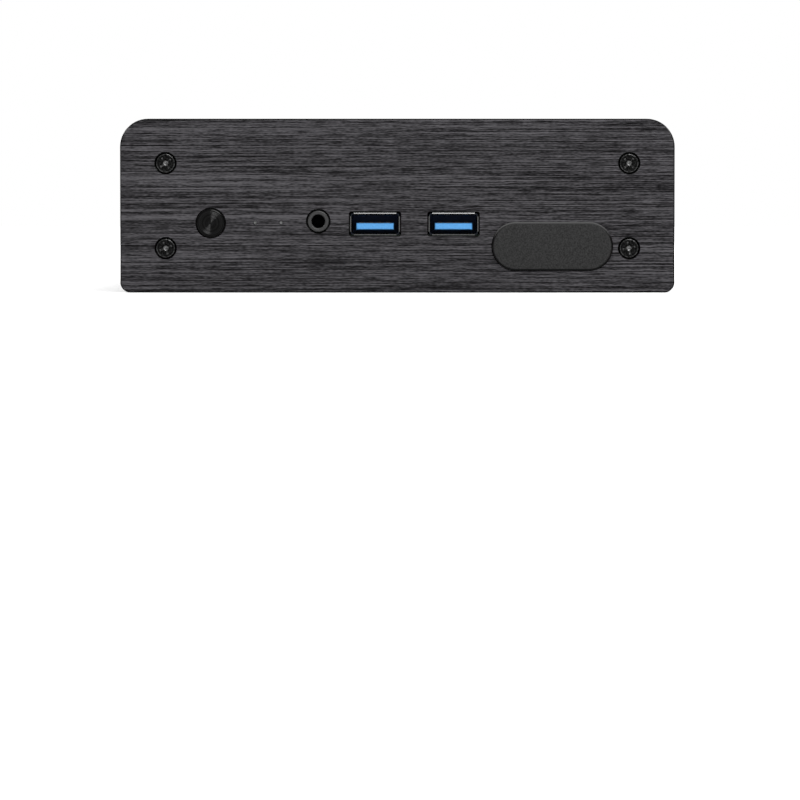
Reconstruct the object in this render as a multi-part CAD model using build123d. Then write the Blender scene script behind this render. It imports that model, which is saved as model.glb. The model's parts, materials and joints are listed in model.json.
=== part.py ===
"""Fanless mini PC case: a finned extrusion between two machined end plates.

Millimetres. The origin is the middle of the case on the surface it stands on.
+Z is up, -Y faces the user at the front panel, and +X is to that user's right.
"""

import math
import os

from build123d import *

# Outer size of the end plates
CASE_W = 150.0
CASE_D = 202.0
CASE_H = 47.0
PLATE_T = 2.0
PLATE_TOP_R = 7.6
PLATE_BOTTOM_R = 2.8
PLATE_EDGE = 0.3
CUTOUT_EDGE = 0.2

# Extruded body, set back from the end plates all round
SIDE_INSET = 0.4
TOP_INSET = 0.7
ROOF_T = 5.0
WALL_T = 3.0
FIN_DEPTH = 7.0
FOOT_BAND_LEAST = 6.0
FIN_GAP = 3.35
FIN_T = 1.5
TOP_FIN_T = 2.2
TOP_FIN_GAP = 3.0
TOP_BAND_H = 7.0
FIN_ROOT_R = 0.7
FIN_TIP_R = 0.35
TOP_FIN_CHAMFER = 0.6
CAVITY_R = 1.5

# Bottom cover in the grooves of the body
COVER_T = 2.0
GROOVE_LIP = 1.2
GROOVE_DEPTH = 2.2
CLEAR_SLIDE = 0.15

# Metric screws, drawn with plain shanks in plain holes
M3_D = 3.0
M4_D = 4.0
THREAD_CLEAR = 0.06
HOLE_CLEAR = 0.2
FLAT_HEAD_D = 5.5
FLAT_HEAD_RIM = 0.1
PAN_HEAD_D = 5.4
PAN_HEAD_H = 2.0
RECESS_SPAN = 3.0
RECESS_SLOT = 0.7
RECESS_DEPTH = 1.2
RECESS_TAPER = 12.0
SCREW_TIP = 0.4

# Panel screws in the four ports of the body
PORT_X_OFFSET = 1.9
PORT_Z = 12.0
PORT_DROP = 6.3
PORT_WALL = 1.85
PANEL_SINK_D = 6.1
PANEL_SCREW_L = 10.0

# General clearances
CLEAR_FIT = 0.1
CLEAR_MOVE = 0.2

# Row of connectors on the front panel
USB_Z = 18.55
USB_FROM_BUTTON = {"left": 44.45, "right": 65.7}
USB_OPEN_W = 12.5
USB_OPEN_H = 5.12
USB_WALL = 0.3
USB_DEPTH = 14.0
USB_CORNER_R = 0.5
USB_LIP = 0.2
USB_LIP_L = 0.6
USB_RECESS = 0.15
USB_PANEL_GAP = 0.15
USB_TONGUE_W = 10.2
USB_TONGUE_T = 1.84
USB_TONGUE_L = 8.2
USB_TONGUE_RECESS = 0.9
USB_TONGUE_RISE = 0.3
USB_TONGUE_CHAMFER = 0.25
USB_CONTACTS = 4
USB_CONTACT_T = 0.2
USB_CONTACT_W = 1.0
USB_CONTACT_PITCH = 2.3
USB_CONTACT_SETBACK = 2.6
USB_PADS = 5
USB_PAD_W = 0.8
USB_PAD_PITCH = 2.0
USB_PAD_L = 1.3
USB_PAD_T = 0.12
USB_FINGER_W = 1.7
USB_FINGER_L = 5.0
USB_FINGER_X = 3.4
USB_FINGER_SETBACK = 3.2
USB_FINGER_DIP = 0.35
USB_FINGER_SLOT = 0.35
USB_TAB_W = 1.2
USB_TAB_SETBACK = 9.5

AUDIO_FROM_BUTTON = 29.1
AUDIO_Z = 19.3
AUDIO_BORE_D = 3.6
AUDIO_BORE_L = 14.0
AUDIO_NOSE_D = 5.9
AUDIO_HOLE_D = 6.3
AUDIO_BODY_W = 8.0
AUDIO_BODY_GAP = 0.3
AUDIO_BODY_BACK = 1.2
AUDIO_RECESS = 0.2
AUDIO_NOSE_EDGE_R = 0.4

BUTTON_FROM_EDGE = 24.5
BUTTON_Z = 18.8
BUTTON_HOLE_D = 7.9
BUTTON_D = 7.5
BUTTON_PROUD = 0.3
BUTTON_TRAVEL = 0.5
BUTTON_FLANGE_D = 9.4
BUTTON_FLANGE_T = 0.8
BUTTON_EDGE = 0.35
BUTTON_STOP_GAP = 0.05
STEM_D = 3.2
STEM_SOCKET = 1.0
SWITCH_GAP = 3.2
SWITCH_W = 6.0
SWITCH_L = 4.4
SWITCH_STEM_DEPTH = 2.0

LED_FROM_BUTTON = {"power": 12.0, "drive": 19.0}
LED_Z = 18.9
PIPE_TIP_D = 0.6
PIPE_HOLE_D = 1.0
PIPE_BODY_D = 2.4
PIPE_BODY_L = 2.2
PIPE_RECESS = 0.3
LED_D = 3.0
LED_GAP = 0.2
LED_L = 3.6
LED_RIM_D = 3.8
LED_RIM_T = 0.8
LED_BLOCK_L = 3.4
LED_BLOCK_MARGIN = 1.6

# Front board on its posts
BOARD_T = 1.6
BOARD_GAP = 2.4
BOARD_L = 22.0
BOARD_WALL_GAP = 7.6
BOARD_USB_MARGIN = 1.65
BOARD_POST_EDGE = 3.6
BOARD_POST_SIDE = 3.9
BOARD_POST_USB_GAP = 1.0
BOARD_SCREW_L = 6.5
HEADER_FROM_BUTTON = 17.5
HEADER_EDGE = 4.6
HEADER_PINS = 5
HEADER_PITCH = 2.0
HEADER_WALL = 0.8
HEADER_H = 5.0
HEADER_FLOOR = 1.2
PIN_W = 0.5
PIN_TAIL = 1.2

# Serial port opening and its rubber cover
SERIAL_FROM_EDGE = 33.1
SERIAL_Z = 12.5
SERIAL_COVER_W = 32.9
SERIAL_COVER_H = 13.3
SERIAL_MARGIN = 1.1
COVER_PROUD = 1.7
COVER_EDGE_R = 0.9
COVER_LIP = 0.5
COVER_LIP_T = 1.2
COVER_WALL = 1.6

# Openings of the rear panel, with X as seen from the front
DC_X = 29.0
DC_Z = 16.9
DC_D = 6.8
DISPLAY_XS = {"left": 16.55, "right": -31.3}
DISPLAY_Z = 17.55
DISPLAY_W = 8.65
DISPLAY_H = 5.5
DISPLAY_R = 1.0
LAN_X = 2.2
LAN_Z = 20.3
LAN_W = 15.9
LAN_H = 10.0
REAR_USB_X = -16.45
REAR_USB_ZS = (14.7, 23.2)
REAR_USB_W = 13.0
REAR_USB_H = 5.3
SQUARE_R = 0.25
LOCK_FROM_EDGE = 19.8
LOCK_Z = 26.75
LOCK_W = 7.4
LOCK_H = 3.5
ANTENNA_FROM_EDGE = {"left": 22.2, "right": 21.8}
ANTENNA_Z = 8.5
ANTENNA_HOLE_D = 6.5
ANTENNA_CAP_D = 8.4
ANTENNA_PROUD = 1.0
ANTENNA_EDGE_R = 0.5

# Main board posts, heat block and drive bracket
MAIN_POST_H = 6.0
MAIN_POST_X = 45.0
MAIN_POST_REAR = 7.0
MAIN_POST_GAP = 6.75
POST_AF = 5.5
POST_SHANK_D = 4.4

BLOCK_OFFSET_Y = 0.5
BLOCK_FOOT_W = 56.0
BLOCK_FOOT_L = 40.0
BLOCK_FOOT_T = 5.0
BLOCK_W = 32.0
BLOCK_L = 30.0
BLOCK_BASE_Z = 14.9
BLOCK_EDGE = 0.8
BLOCK_SCREW_X = 22.5
BLOCK_SCREW_Y = 14.5
BLOCK_SCREW_L = 8.0
ROOF_HOLE_DEPTH = 3.8
PAD_T = 1.0
PAD_INSET = 3.0

BRACKET_GAP = 1.35
BRACKET_L = 69.5
BRACKET_T = 1.2
BRACKET_WALL_GAP = 2.6
BRACKET_RISE = 5.2
BRACKET_FOOT = 8.0
BRACKET_BEND_R = 0.8
BRACKET_SCREW_INSET = 4.4
BRACKET_SCREW_END = 8.75
DRIVE_HOLE_X = 76.6
DRIVE_HOLE_Y = 61.72
BRACKET_RIM_X = 26.0
BRACKET_RIM_Y = 14.75
BRACKET_WINDOW_R = 4.0

# Square hole patterns under the case for a monitor or wall bracket
VESA_PITCHES = (75.0, 100.0)

# Faces and places worked out from the sizes above
FRONT_Y = -CASE_D / 2
REAR_Y = CASE_D / 2
FRONT_IN = FRONT_Y + PLATE_T
REAR_IN = REAR_Y - PLATE_T
BODY_HALF_W = CASE_W / 2 - SIDE_INSET
BODY_TOP = CASE_H - TOP_INSET
FIN_ROOT_X = BODY_HALF_W - FIN_DEPTH
WALL_IN_X = FIN_ROOT_X - WALL_T
ROOF_Z = BODY_TOP - ROOF_T
COVER_Z = GROOVE_LIP
COVER_TOP = COVER_Z + COVER_T
M3_HOLE_D = M3_D + 2 * THREAD_CLEAR
M3_FREE_D = M3_D + 2 * HOLE_CLEAR
M4_HOLE_D = M4_D + 2 * THREAD_CLEAR
PORT_X = WALL_IN_X - PORT_X_OFFSET
PORT_POINTS = [(side * PORT_X, z) for side in (-1, 1) for z in (PORT_Z, ROOF_Z - PORT_DROP)]
BUTTON_X = BUTTON_FROM_EDGE - CASE_W / 2
SERIAL_X = CASE_W / 2 - SERIAL_FROM_EDGE
LOCK_X = LOCK_FROM_EDGE - CASE_W / 2
ANTENNA_XS = {
    "left": CASE_W / 2 - ANTENNA_FROM_EDGE["left"],
    "right": ANTENNA_FROM_EDGE["right"] - CASE_W / 2,
}
LED_XS = {name: BUTTON_X + away for name, away in LED_FROM_BUTTON.items()}
USB_XS = {name: BUTTON_X + away for name, away in USB_FROM_BUTTON.items()}
AUDIO_X = BUTTON_X + AUDIO_FROM_BUTTON
HEADER_X = BUTTON_X + HEADER_FROM_BUTTON
USB_TONGUE_TOP = USB_Z + USB_TONGUE_RISE
BOARD_TOP = USB_Z - USB_OPEN_H / 2 - USB_WALL
BOARD_Z = BOARD_TOP - BOARD_T
BOARD_FRONT = FRONT_IN + BOARD_GAP
BOARD_BACK = BOARD_FRONT + BOARD_L
BOARD_X_LEFT = BOARD_WALL_GAP - WALL_IN_X
BOARD_X_RIGHT = USB_XS["right"] + USB_OPEN_W / 2 + USB_WALL + BOARD_USB_MARGIN
BOARD_POST_XS = (
    BOARD_X_LEFT + BOARD_POST_SIDE,
    USB_XS["left"] - USB_OPEN_W / 2 - USB_WALL - BOARD_POST_USB_GAP,
    BOARD_X_RIGHT - BOARD_POST_SIDE,
)
BOARD_POST_Y = BOARD_BACK - BOARD_POST_EDGE
BRACKET_FRONT = BOARD_BACK + BRACKET_GAP
BRACKET_BACK = BRACKET_FRONT + BRACKET_L
BRACKET_Y = (BRACKET_FRONT + BRACKET_BACK) / 2
MAIN_POST_YS = (REAR_IN - MAIN_POST_REAR, BRACKET_BACK + MAIN_POST_GAP)
MAIN_POST_POINTS = [(side * MAIN_POST_X, y) for side in (-1, 1) for y in MAIN_POST_YS]
BOARD_POST_POINTS = [(x, BOARD_POST_Y) for x in BOARD_POST_XS]
BRACKET_FOOT_X = WALL_IN_X - BRACKET_WALL_GAP
BRACKET_DECK_X = BRACKET_FOOT_X - BRACKET_FOOT
BRACKET_SCREW_POINTS = [
    (side * (BRACKET_FOOT_X - BRACKET_SCREW_INSET), y)
    for side in (-1, 1)
    for y in (BRACKET_FRONT + BRACKET_SCREW_END, BRACKET_BACK - BRACKET_SCREW_END)
]
BLOCK_Y = sum(MAIN_POST_YS) / 2 + BLOCK_OFFSET_Y
BLOCK_SCREW_POINTS = [
    (side * BLOCK_SCREW_X, BLOCK_Y + end * BLOCK_SCREW_Y) for side in (-1, 1) for end in (-1, 1)
]


def upright(y):
    """A drawing plane at depth y, seen from the front: across is X, up is Z."""
    return Plane(origin=(0, y, 0), x_dir=(1, 0, 0), z_dir=(0, -1, 0))


def slab(drawing, y_front, y_back):
    """A front-view drawing made solid from y_front back to y_back."""
    return extrude(upright(y_front) * drawing, amount=y_front - y_back)


def layer(drawing, z_low, z_high):
    """A top-view drawing made solid between two heights."""
    return extrude(Plane.XY.offset(z_low) * drawing, amount=z_high - z_low)


def block(x_span, y_span, z_span):
    """A rectangular block between three pairs of faces."""
    centre = [(low + high) / 2 for low, high in (x_span, y_span, z_span)]
    sizes = [high - low for low, high in (x_span, y_span, z_span)]
    return Pos(*centre) * Box(*sizes)


def rod(x, z, diameter, y_front, y_back):
    """A round bar along Y."""
    return slab(Pos(x, z) * Circle(diameter / 2), y_front, y_back)


def post(x, y, diameter, z_low, z_high):
    """A round bar along Z."""
    return layer(Pos(x, y) * Circle(diameter / 2), z_low, z_high)


def turned(points):
    """A solid of revolution about Z from (radius, height) points."""
    return revolve(Plane.XZ * make_face(Polyline(*points, close=True)), Axis.Z)


def cross_recess():
    """The tapered cross of a screw head, cut down from its top face."""
    cross = Rectangle(RECESS_SPAN, RECESS_SLOT) + Rectangle(RECESS_SLOT, RECESS_SPAN)
    return extrude(cross, amount=-RECESS_DEPTH, taper=RECESS_TAPER)


def flat_head_screw(length):
    """A countersunk M3 screw, head face at z = 0, pointing down."""
    head = FLAT_HEAD_D / 2
    shank = M3_D / 2
    cone_end = -FLAT_HEAD_RIM - (head - shank)
    outline = [
        (0, 0),
        (head, 0),
        (head, -FLAT_HEAD_RIM),
        (shank, cone_end),
        (shank, SCREW_TIP - length),
        (shank - SCREW_TIP, -length),
        (0, -length),
    ]
    return turned(outline) - cross_recess()


def pan_head_screw(length):
    """A pan head M3 screw, seat at z = 0, head above it, pointing down."""
    shank = M3_D / 2
    head = PAN_HEAD_D / 2
    outline = [
        (0, PAN_HEAD_H),
        (head - SCREW_TIP, PAN_HEAD_H),
        (head, PAN_HEAD_H - SCREW_TIP),
        (head, 0),
        (shank, 0),
        (shank, SCREW_TIP - length),
        (shank - SCREW_TIP, -length),
        (0, -length),
    ]
    return turned(outline) - Pos(0, 0, PAN_HEAD_H) * cross_recess()


def group(pieces):
    """Several equal pieces kept as separate solids of one node."""
    return Part() + list(pieces)


def fin_gaps():
    """Lower and upper height of each gap between the fins, from the top."""
    high = BODY_TOP - TOP_BAND_H
    gaps = [(high - TOP_FIN_GAP, high)]
    high -= TOP_FIN_GAP + TOP_FIN_T
    while high - FIN_GAP >= FOOT_BAND_LEAST:
        gaps.append((high - FIN_GAP, high))
        high -= FIN_GAP + FIN_T
    return gaps


def eased_edge(height, centre_height):
    """What a fin's rounded edge leaves open at the mouth of a gap on the right side."""
    corner = Pos(BODY_HALF_W, height) * Rectangle(2 * FIN_TIP_R, 2 * FIN_TIP_R)
    return corner - Pos(BODY_HALF_W - FIN_TIP_R, centre_height) * Circle(FIN_TIP_R)


def gap_drawing(low, high, bevelled):
    """A gap between two fins on the right side, round at its root and eased at its mouth."""
    gap = Pos(BODY_HALF_W, (low + high) / 2) * Rectangle(2 * FIN_DEPTH, high - low)
    gap = fillet(gap.vertices().group_by(Axis.X)[0], FIN_ROOT_R)
    if bevelled:
        gap += Pos(BODY_HALF_W, low) * RegularPolygon(TOP_FIN_CHAMFER, 4)
    else:
        gap += eased_edge(low, low - FIN_TIP_R)
    return gap + eased_edge(high, high + FIN_TIP_R)


def body_section():
    """The extrusion's section: an inverted U with fins, ports and grooves."""
    outline = Pos(0, BODY_TOP / 2) * Rectangle(2 * BODY_HALF_W, BODY_TOP)
    outline = fillet(outline.vertices().group_by(Axis.Y)[-1], PLATE_TOP_R - SIDE_INSET)
    outline = fillet(outline.vertices().group_by(Axis.Y)[0], PLATE_BOTTOM_R - SIDE_INSET)
    cavity = Pos(0, ROOF_Z / 2) * Rectangle(2 * WALL_IN_X, ROOF_Z)
    section = outline - fillet(cavity.vertices().group_by(Axis.Y)[-1], CAVITY_R)
    for place, (low, high) in enumerate(fin_gaps()):
        gap = gap_drawing(low, high, bevelled=place == 0)
        section -= gap
        section -= mirror(gap, Plane.YZ)
    for x, z in PORT_POINTS:
        section += Pos(x, z) * Circle(M3_HOLE_D / 2 + PORT_WALL)
    for x, z in PORT_POINTS:
        section -= Pos(x, z) * Circle(M3_HOLE_D / 2)
    groove_h = COVER_T + CLEAR_SLIDE
    groove = Rectangle(2 * (WALL_IN_X + GROOVE_DEPTH), groove_h)
    return section - Pos(0, COVER_Z + groove_h / 2) * groove


def heatsink_body():
    """The extruded body with tapped holes in its roof for the heat block."""
    body = slab(body_section(), FRONT_IN, REAR_IN)
    for x, y in BLOCK_SCREW_POINTS:
        body -= post(x, y, M3_HOLE_D, ROOF_Z, ROOF_Z + ROOF_HOLE_DEPTH)
    return body


def plate_outline():
    """The end plates' outline, rounder at the top than at the bottom."""
    outline = Pos(0, CASE_H / 2) * Rectangle(CASE_W, CASE_H)
    outline = fillet(outline.vertices().group_by(Axis.Y)[-1], PLATE_TOP_R)
    return fillet(outline.vertices().group_by(Axis.Y)[0], PLATE_BOTTOM_R)


def end_plate(outer_y, inner_y, cutouts):
    """An end plate with its openings, broken edges and four countersinks."""
    y_front, y_back = sorted((outer_y, inner_y))
    plate = slab(plate_outline(), y_front, y_back)
    plate = chamfer(plate.edges().group_by(Axis.Y)[0], PLATE_EDGE)
    plate = chamfer(plate.edges().group_by(Axis.Y)[-1], PLATE_EDGE)
    for cutout in cutouts:
        plate -= slab(cutout, y_front, y_back)
    outer_edges = plate.edges().filter_by_position(Axis.Y, outer_y, outer_y)
    inset = CASE_W / 2 - 2 * PLATE_EDGE
    rims = [edge for edge in outer_edges if abs(edge.center().X) + edge.length / 2 < inset]
    plate = chamfer([e for e in rims if e.length < CASE_H], CUTOUT_EDGE)
    sink = PANEL_SINK_D / 2
    hole = M3_FREE_D / 2
    sink_tool = turned([(0, 0), (sink, 0), (hole, hole - sink), (hole, -PLATE_T), (0, -PLATE_T)])
    turn = 90 if outer_y < inner_y else -90
    for x, z in PORT_POINTS:
        plate -= Pos(x, outer_y, z) * Rot(turn, 0, 0) * sink_tool
    return plate


def panel_screws(outer_y, turn):
    """Four countersunk screws, each a little under its plate's face."""
    sunk = (PANEL_SINK_D - FLAT_HEAD_D) / 2 - FLAT_HEAD_RIM - CLEAR_FIT
    inward = 1 if outer_y < 0 else -1
    screw = Rot(turn, 0, 0) * flat_head_screw(PANEL_SCREW_L)
    return group(Pos(x, outer_y + inward * sunk, z) * screw for x, z in PORT_POINTS)


def oblong(x, z, width, height):
    """A drawing of a slot with round ends."""
    return Pos(x, z) * SlotOverall(width, height)


def rounded(x, z, width, height, radius):
    """A drawing of a rectangle with rounded corners."""
    return Pos(x, z) * RectangleRounded(width, height, radius)


def usb_outer():
    """Outer width and height of a receptacle shell."""
    return USB_OPEN_W + 2 * USB_WALL, USB_OPEN_H + 2 * USB_WALL


def front_panel():
    """The front plate with its row of openings."""
    outer_w, outer_h = usb_outer()
    grow = 2 * (USB_LIP + USB_PANEL_GAP)
    cutouts = [
        Pos(BUTTON_X, BUTTON_Z) * Circle(BUTTON_HOLE_D / 2),
        Pos(AUDIO_X, AUDIO_Z) * Circle(AUDIO_HOLE_D / 2),
        oblong(SERIAL_X, SERIAL_Z, SERIAL_COVER_W - 2 * SERIAL_MARGIN, SERIAL_COVER_H - 2 * SERIAL_MARGIN),
    ]
    cutouts += [rounded(x, USB_Z, outer_w + grow, outer_h + grow, USB_CORNER_R) for x in USB_XS.values()]
    plate = end_plate(FRONT_Y, FRONT_IN, cutouts)
    for x in LED_XS.values():
        plate -= rod(x, LED_Z, PIPE_HOLE_D, FRONT_Y, FRONT_IN)
    return plate


def rear_panel():
    """The rear plate with the main board's openings and two antenna holes."""
    cutouts = [Pos(DC_X, DC_Z) * Circle(DC_D / 2), oblong(LOCK_X, LOCK_Z, LOCK_W, LOCK_H)]
    cutouts += [rounded(x, DISPLAY_Z, DISPLAY_W, DISPLAY_H, DISPLAY_R) for x in DISPLAY_XS.values()]
    cutouts += [rounded(REAR_USB_X, z, REAR_USB_W, REAR_USB_H, SQUARE_R) for z in REAR_USB_ZS]
    cutouts += [rounded(LAN_X, LAN_Z, LAN_W, LAN_H, SQUARE_R)]
    cutouts += [Pos(x, ANTENNA_Z) * Circle(ANTENNA_HOLE_D / 2) for x in ANTENNA_XS.values()]
    return end_plate(REAR_Y, REAR_IN, cutouts)


def bottom_cover():
    """The flat cover with holes for its posts, the drive bracket and a mount."""
    half_w = WALL_IN_X + GROOVE_DEPTH - CLEAR_SLIDE
    y_span = (FRONT_IN + CLEAR_FIT, REAR_IN - CLEAR_FIT)
    cover = block((-half_w, half_w), y_span, (COVER_Z, COVER_TOP))
    for x, y in MAIN_POST_POINTS + BOARD_POST_POINTS:
        cover -= post(x, y, POST_SHANK_D + 2 * CLEAR_FIT, COVER_Z, COVER_TOP)
    for x, y in BRACKET_SCREW_POINTS:
        cover -= post(x, y, M3_HOLE_D, COVER_Z, COVER_TOP)
    for pitch in VESA_PITCHES:
        for point in GridLocations(pitch, pitch, 2, 2):
            x, y = point.position.X, point.position.Y
            cover -= post(x, y, M4_HOLE_D, COVER_Z, COVER_TOP)
    return cover


def cover_posts(points, height):
    """Hexagonal threaded posts, each with a shank pressed into the cover."""
    hexagon = RegularPolygon(POST_AF / 2, 6, major_radius=False)
    pieces = []
    for x, y in points:
        piece = layer(Pos(x, y) * hexagon, COVER_TOP, COVER_TOP + height)
        piece += post(x, y, POST_SHANK_D, COVER_Z, COVER_TOP)
        pieces.append(piece - post(x, y, M3_HOLE_D, COVER_Z, COVER_TOP + height))
    return group(pieces)


def power_button():
    """The turned cap with a retaining flange behind the panel."""
    face = FRONT_Y - BUTTON_PROUD
    flange_y = FRONT_IN + BUTTON_STOP_GAP
    back = flange_y + BUTTON_FLANGE_T
    cap = rod(BUTTON_X, BUTTON_Z, BUTTON_D, face, flange_y)
    cap = chamfer(cap.edges().group_by(Axis.Y)[0], BUTTON_EDGE)
    cap += rod(BUTTON_X, BUTTON_Z, BUTTON_FLANGE_D, flange_y, back)
    return cap - rod(BUTTON_X, BUTTON_Z, STEM_D, back - STEM_SOCKET, back)


def button_plunger():
    """The switch's stem, from the cap's socket into the switch body."""
    back = FRONT_IN + BUTTON_STOP_GAP + BUTTON_FLANGE_T
    front = back - STEM_SOCKET
    stem_end = FRONT_IN + SWITCH_GAP + SWITCH_STEM_DEPTH - BUTTON_TRAVEL - CLEAR_MOVE
    return rod(BUTTON_X, BUTTON_Z, STEM_D, front, stem_end)


def button_switch_body():
    """The square push switch, open in front for its stem."""
    front = FRONT_IN + SWITCH_GAP
    body = block(
        (BUTTON_X - SWITCH_W / 2, BUTTON_X + SWITCH_W / 2),
        (front, front + SWITCH_L),
        (BOARD_TOP, BUTTON_Z + SWITCH_W / 2),
    )
    return body - rod(BUTTON_X, BUTTON_Z, STEM_D + 2 * CLEAR_MOVE, front, front + SWITCH_STEM_DEPTH)


def led_pipe(x):
    """A light pipe: a thin tip in the panel and a shoulder behind it."""
    shoulder = FRONT_IN + CLEAR_FIT
    pipe = rod(x, LED_Z, PIPE_TIP_D, FRONT_Y + PIPE_RECESS, shoulder)
    return pipe + rod(x, LED_Z, PIPE_BODY_D, shoulder, shoulder + PIPE_BODY_L)


def led_front():
    """Depth of the front of the diodes."""
    return FRONT_IN + CLEAR_FIT + PIPE_BODY_L + LED_GAP


def led(x):
    """A round diode: a domed lens on a wider rim."""
    radius = LED_D / 2
    rim_top = -(LED_L - LED_RIM_T)
    profile = make_face(
        Polyline(
            (0, rim_top - LED_RIM_T),
            (LED_RIM_D / 2, rim_top - LED_RIM_T),
            (LED_RIM_D / 2, rim_top),
            (radius, rim_top),
            (radius, -radius),
        )
        + RadiusArc((radius, -radius), (0, 0), -radius)
        + Line((0, 0), (0, rim_top - LED_RIM_T))
    )
    return Pos(x, led_front(), LED_Z) * Rot(90, 0, 0) * revolve(Plane.XZ * profile, Axis.Z)


def led_holder():
    """The moulded block that holds both diodes on the board."""
    front = led_front() + LED_L
    xs = sorted(LED_XS.values())
    reach = LED_RIM_D / 2 + LED_BLOCK_MARGIN
    holder = block(
        (xs[0] - reach, xs[-1] + reach), (front, front + LED_BLOCK_L), (BOARD_TOP, LED_Z + reach)
    )
    for x in xs:
        holder += block(
            (x - reach, x + reach), (front - LED_RIM_T, front), (BOARD_TOP, LED_Z + reach)
        ) - rod(x, LED_Z, LED_RIM_D + 2 * CLEAR_FIT, front - LED_RIM_T, front)
    return holder


def audio_body_front():
    """Depth of the front of the audio jack's body."""
    return FRONT_IN + AUDIO_BODY_GAP


def audio_jack_body():
    """The jack's moulded body, bored along its whole contact length."""
    half = AUDIO_BODY_W / 2
    back = FRONT_Y + AUDIO_RECESS + AUDIO_BORE_L
    body = block(
        (AUDIO_X - half, AUDIO_X + half),
        (audio_body_front(), back + AUDIO_BODY_BACK),
        (BOARD_TOP, AUDIO_Z + half),
    )
    return body - rod(AUDIO_X, AUDIO_Z, AUDIO_BORE_D, audio_body_front(), back)


def audio_jack_nose():
    """The grey sleeve of the jack that shows in the panel."""
    front = FRONT_Y + AUDIO_RECESS
    nose = rod(AUDIO_X, AUDIO_Z, AUDIO_NOSE_D, front, audio_body_front())
    nose -= rod(AUDIO_X, AUDIO_Z, AUDIO_BORE_D, front, audio_body_front())
    return fillet(nose.edges().group_by(Axis.Y)[0], AUDIO_NOSE_EDGE_R)


def usb_front():
    """Depth of the front rim of the receptacle shells."""
    return FRONT_Y + USB_RECESS


def usb_lip_points():
    """A lip's section as depths and distances from the opening, its cut edge square to the flap."""
    front = usb_front()
    slope = math.hypot(USB_LIP, USB_LIP_L)
    edge_back = USB_WALL * USB_LIP / slope
    edge_out = USB_WALL * USB_LIP_L / slope
    return [
        (front + USB_LIP_L, 0),
        (front, USB_LIP),
        (front + edge_back, USB_LIP + edge_out),
        (front + USB_LIP_L, USB_WALL),
    ]


def usb_lips(x):
    """Four flaps bent outwards round the mouth, leaving the corners open."""
    lips = Part()
    for across, size, other in (("flat", USB_OPEN_W, USB_OPEN_H), ("side", USB_OPEN_H, USB_OPEN_W)):
        length = size - 2 * USB_CORNER_R
        inner = other / 2
        for side in (-1, 1):
            points = [(y, inner + out) for y, out in usb_lip_points()]
            if across == "flat":
                drawing = make_face(Polyline(*[(y, USB_Z + side * out) for y, out in points], close=True))
                start = Plane(origin=(x - length / 2, 0, 0), x_dir=(0, 1, 0), z_dir=(1, 0, 0))
                lips += extrude(start * drawing, amount=length)
            else:
                drawing = make_face(Polyline(*[(x + side * out, y) for y, out in points], close=True))
                lips += layer(drawing, USB_Z - length / 2, USB_Z + length / 2)
    return lips


def usb_shell(x):
    """A folded receptacle shell with lips, spring fingers and board tabs."""
    outer_w, outer_h = usb_outer()
    tube_front = usb_front() + USB_LIP_L
    back = usb_front() + USB_DEPTH
    shell = slab(rounded(x, USB_Z, outer_w, outer_h, USB_CORNER_R), tube_front, back)
    shell -= slab(rounded(x, USB_Z, USB_OPEN_W, USB_OPEN_H, USB_CORNER_R - USB_WALL), tube_front, back)
    shell += usb_lips(x)
    finger_front = usb_front() + USB_FINGER_SETBACK
    finger_back = finger_front + USB_FINGER_L
    wide = USB_FINGER_W / 2 + USB_FINGER_SLOT
    for finger_x in (x - USB_FINGER_X, x + USB_FINGER_X):
        top = USB_Z + USB_OPEN_H / 2
        shell -= block(
            (finger_x - wide, finger_x + wide),
            (finger_front - USB_FINGER_SLOT, finger_back),
            (top, top + USB_WALL),
        )
        leaf = make_face(
            Polyline(
                (finger_back, top),
                (finger_front, top - USB_FINGER_DIP),
                (finger_front, top - USB_FINGER_DIP + USB_WALL),
                (finger_back, top + USB_WALL),
                close=True,
            )
        )
        start = Plane(origin=(finger_x - USB_FINGER_W / 2, 0, 0), x_dir=(0, 1, 0), z_dir=(1, 0, 0))
        shell += extrude(start * leaf, amount=USB_FINGER_W)
    for side in (-1, 1):
        tab_x = x + side * (outer_w - USB_WALL) / 2
        tab_y = usb_front() + USB_TAB_SETBACK
        shell += block(
            (tab_x - USB_WALL / 2, tab_x + USB_WALL / 2),
            (tab_y - USB_TAB_W / 2, tab_y + USB_TAB_W / 2),
            (BOARD_Z - PIN_TAIL, USB_Z),
        )
    return shell


def usb_tongue(x):
    """The blue moulding: a block at the back of the shell and its tongue."""
    fit = CLEAR_FIT / 2
    block_front = usb_front() + USB_TONGUE_RECESS + USB_TONGUE_L
    back = usb_front() + USB_DEPTH
    blade = block(
        (x - USB_TONGUE_W / 2, x + USB_TONGUE_W / 2),
        (usb_front() + USB_TONGUE_RECESS, block_front),
        (USB_TONGUE_TOP - USB_TONGUE_T, USB_TONGUE_TOP),
    )
    blade = chamfer(blade.edges().group_by(Axis.Y)[0], USB_TONGUE_CHAMFER)
    width = USB_OPEN_W - 2 * fit
    height = USB_OPEN_H - 2 * fit
    return blade + slab(rounded(x, USB_Z, width, height, USB_CORNER_R - USB_WALL), block_front, back)


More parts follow.
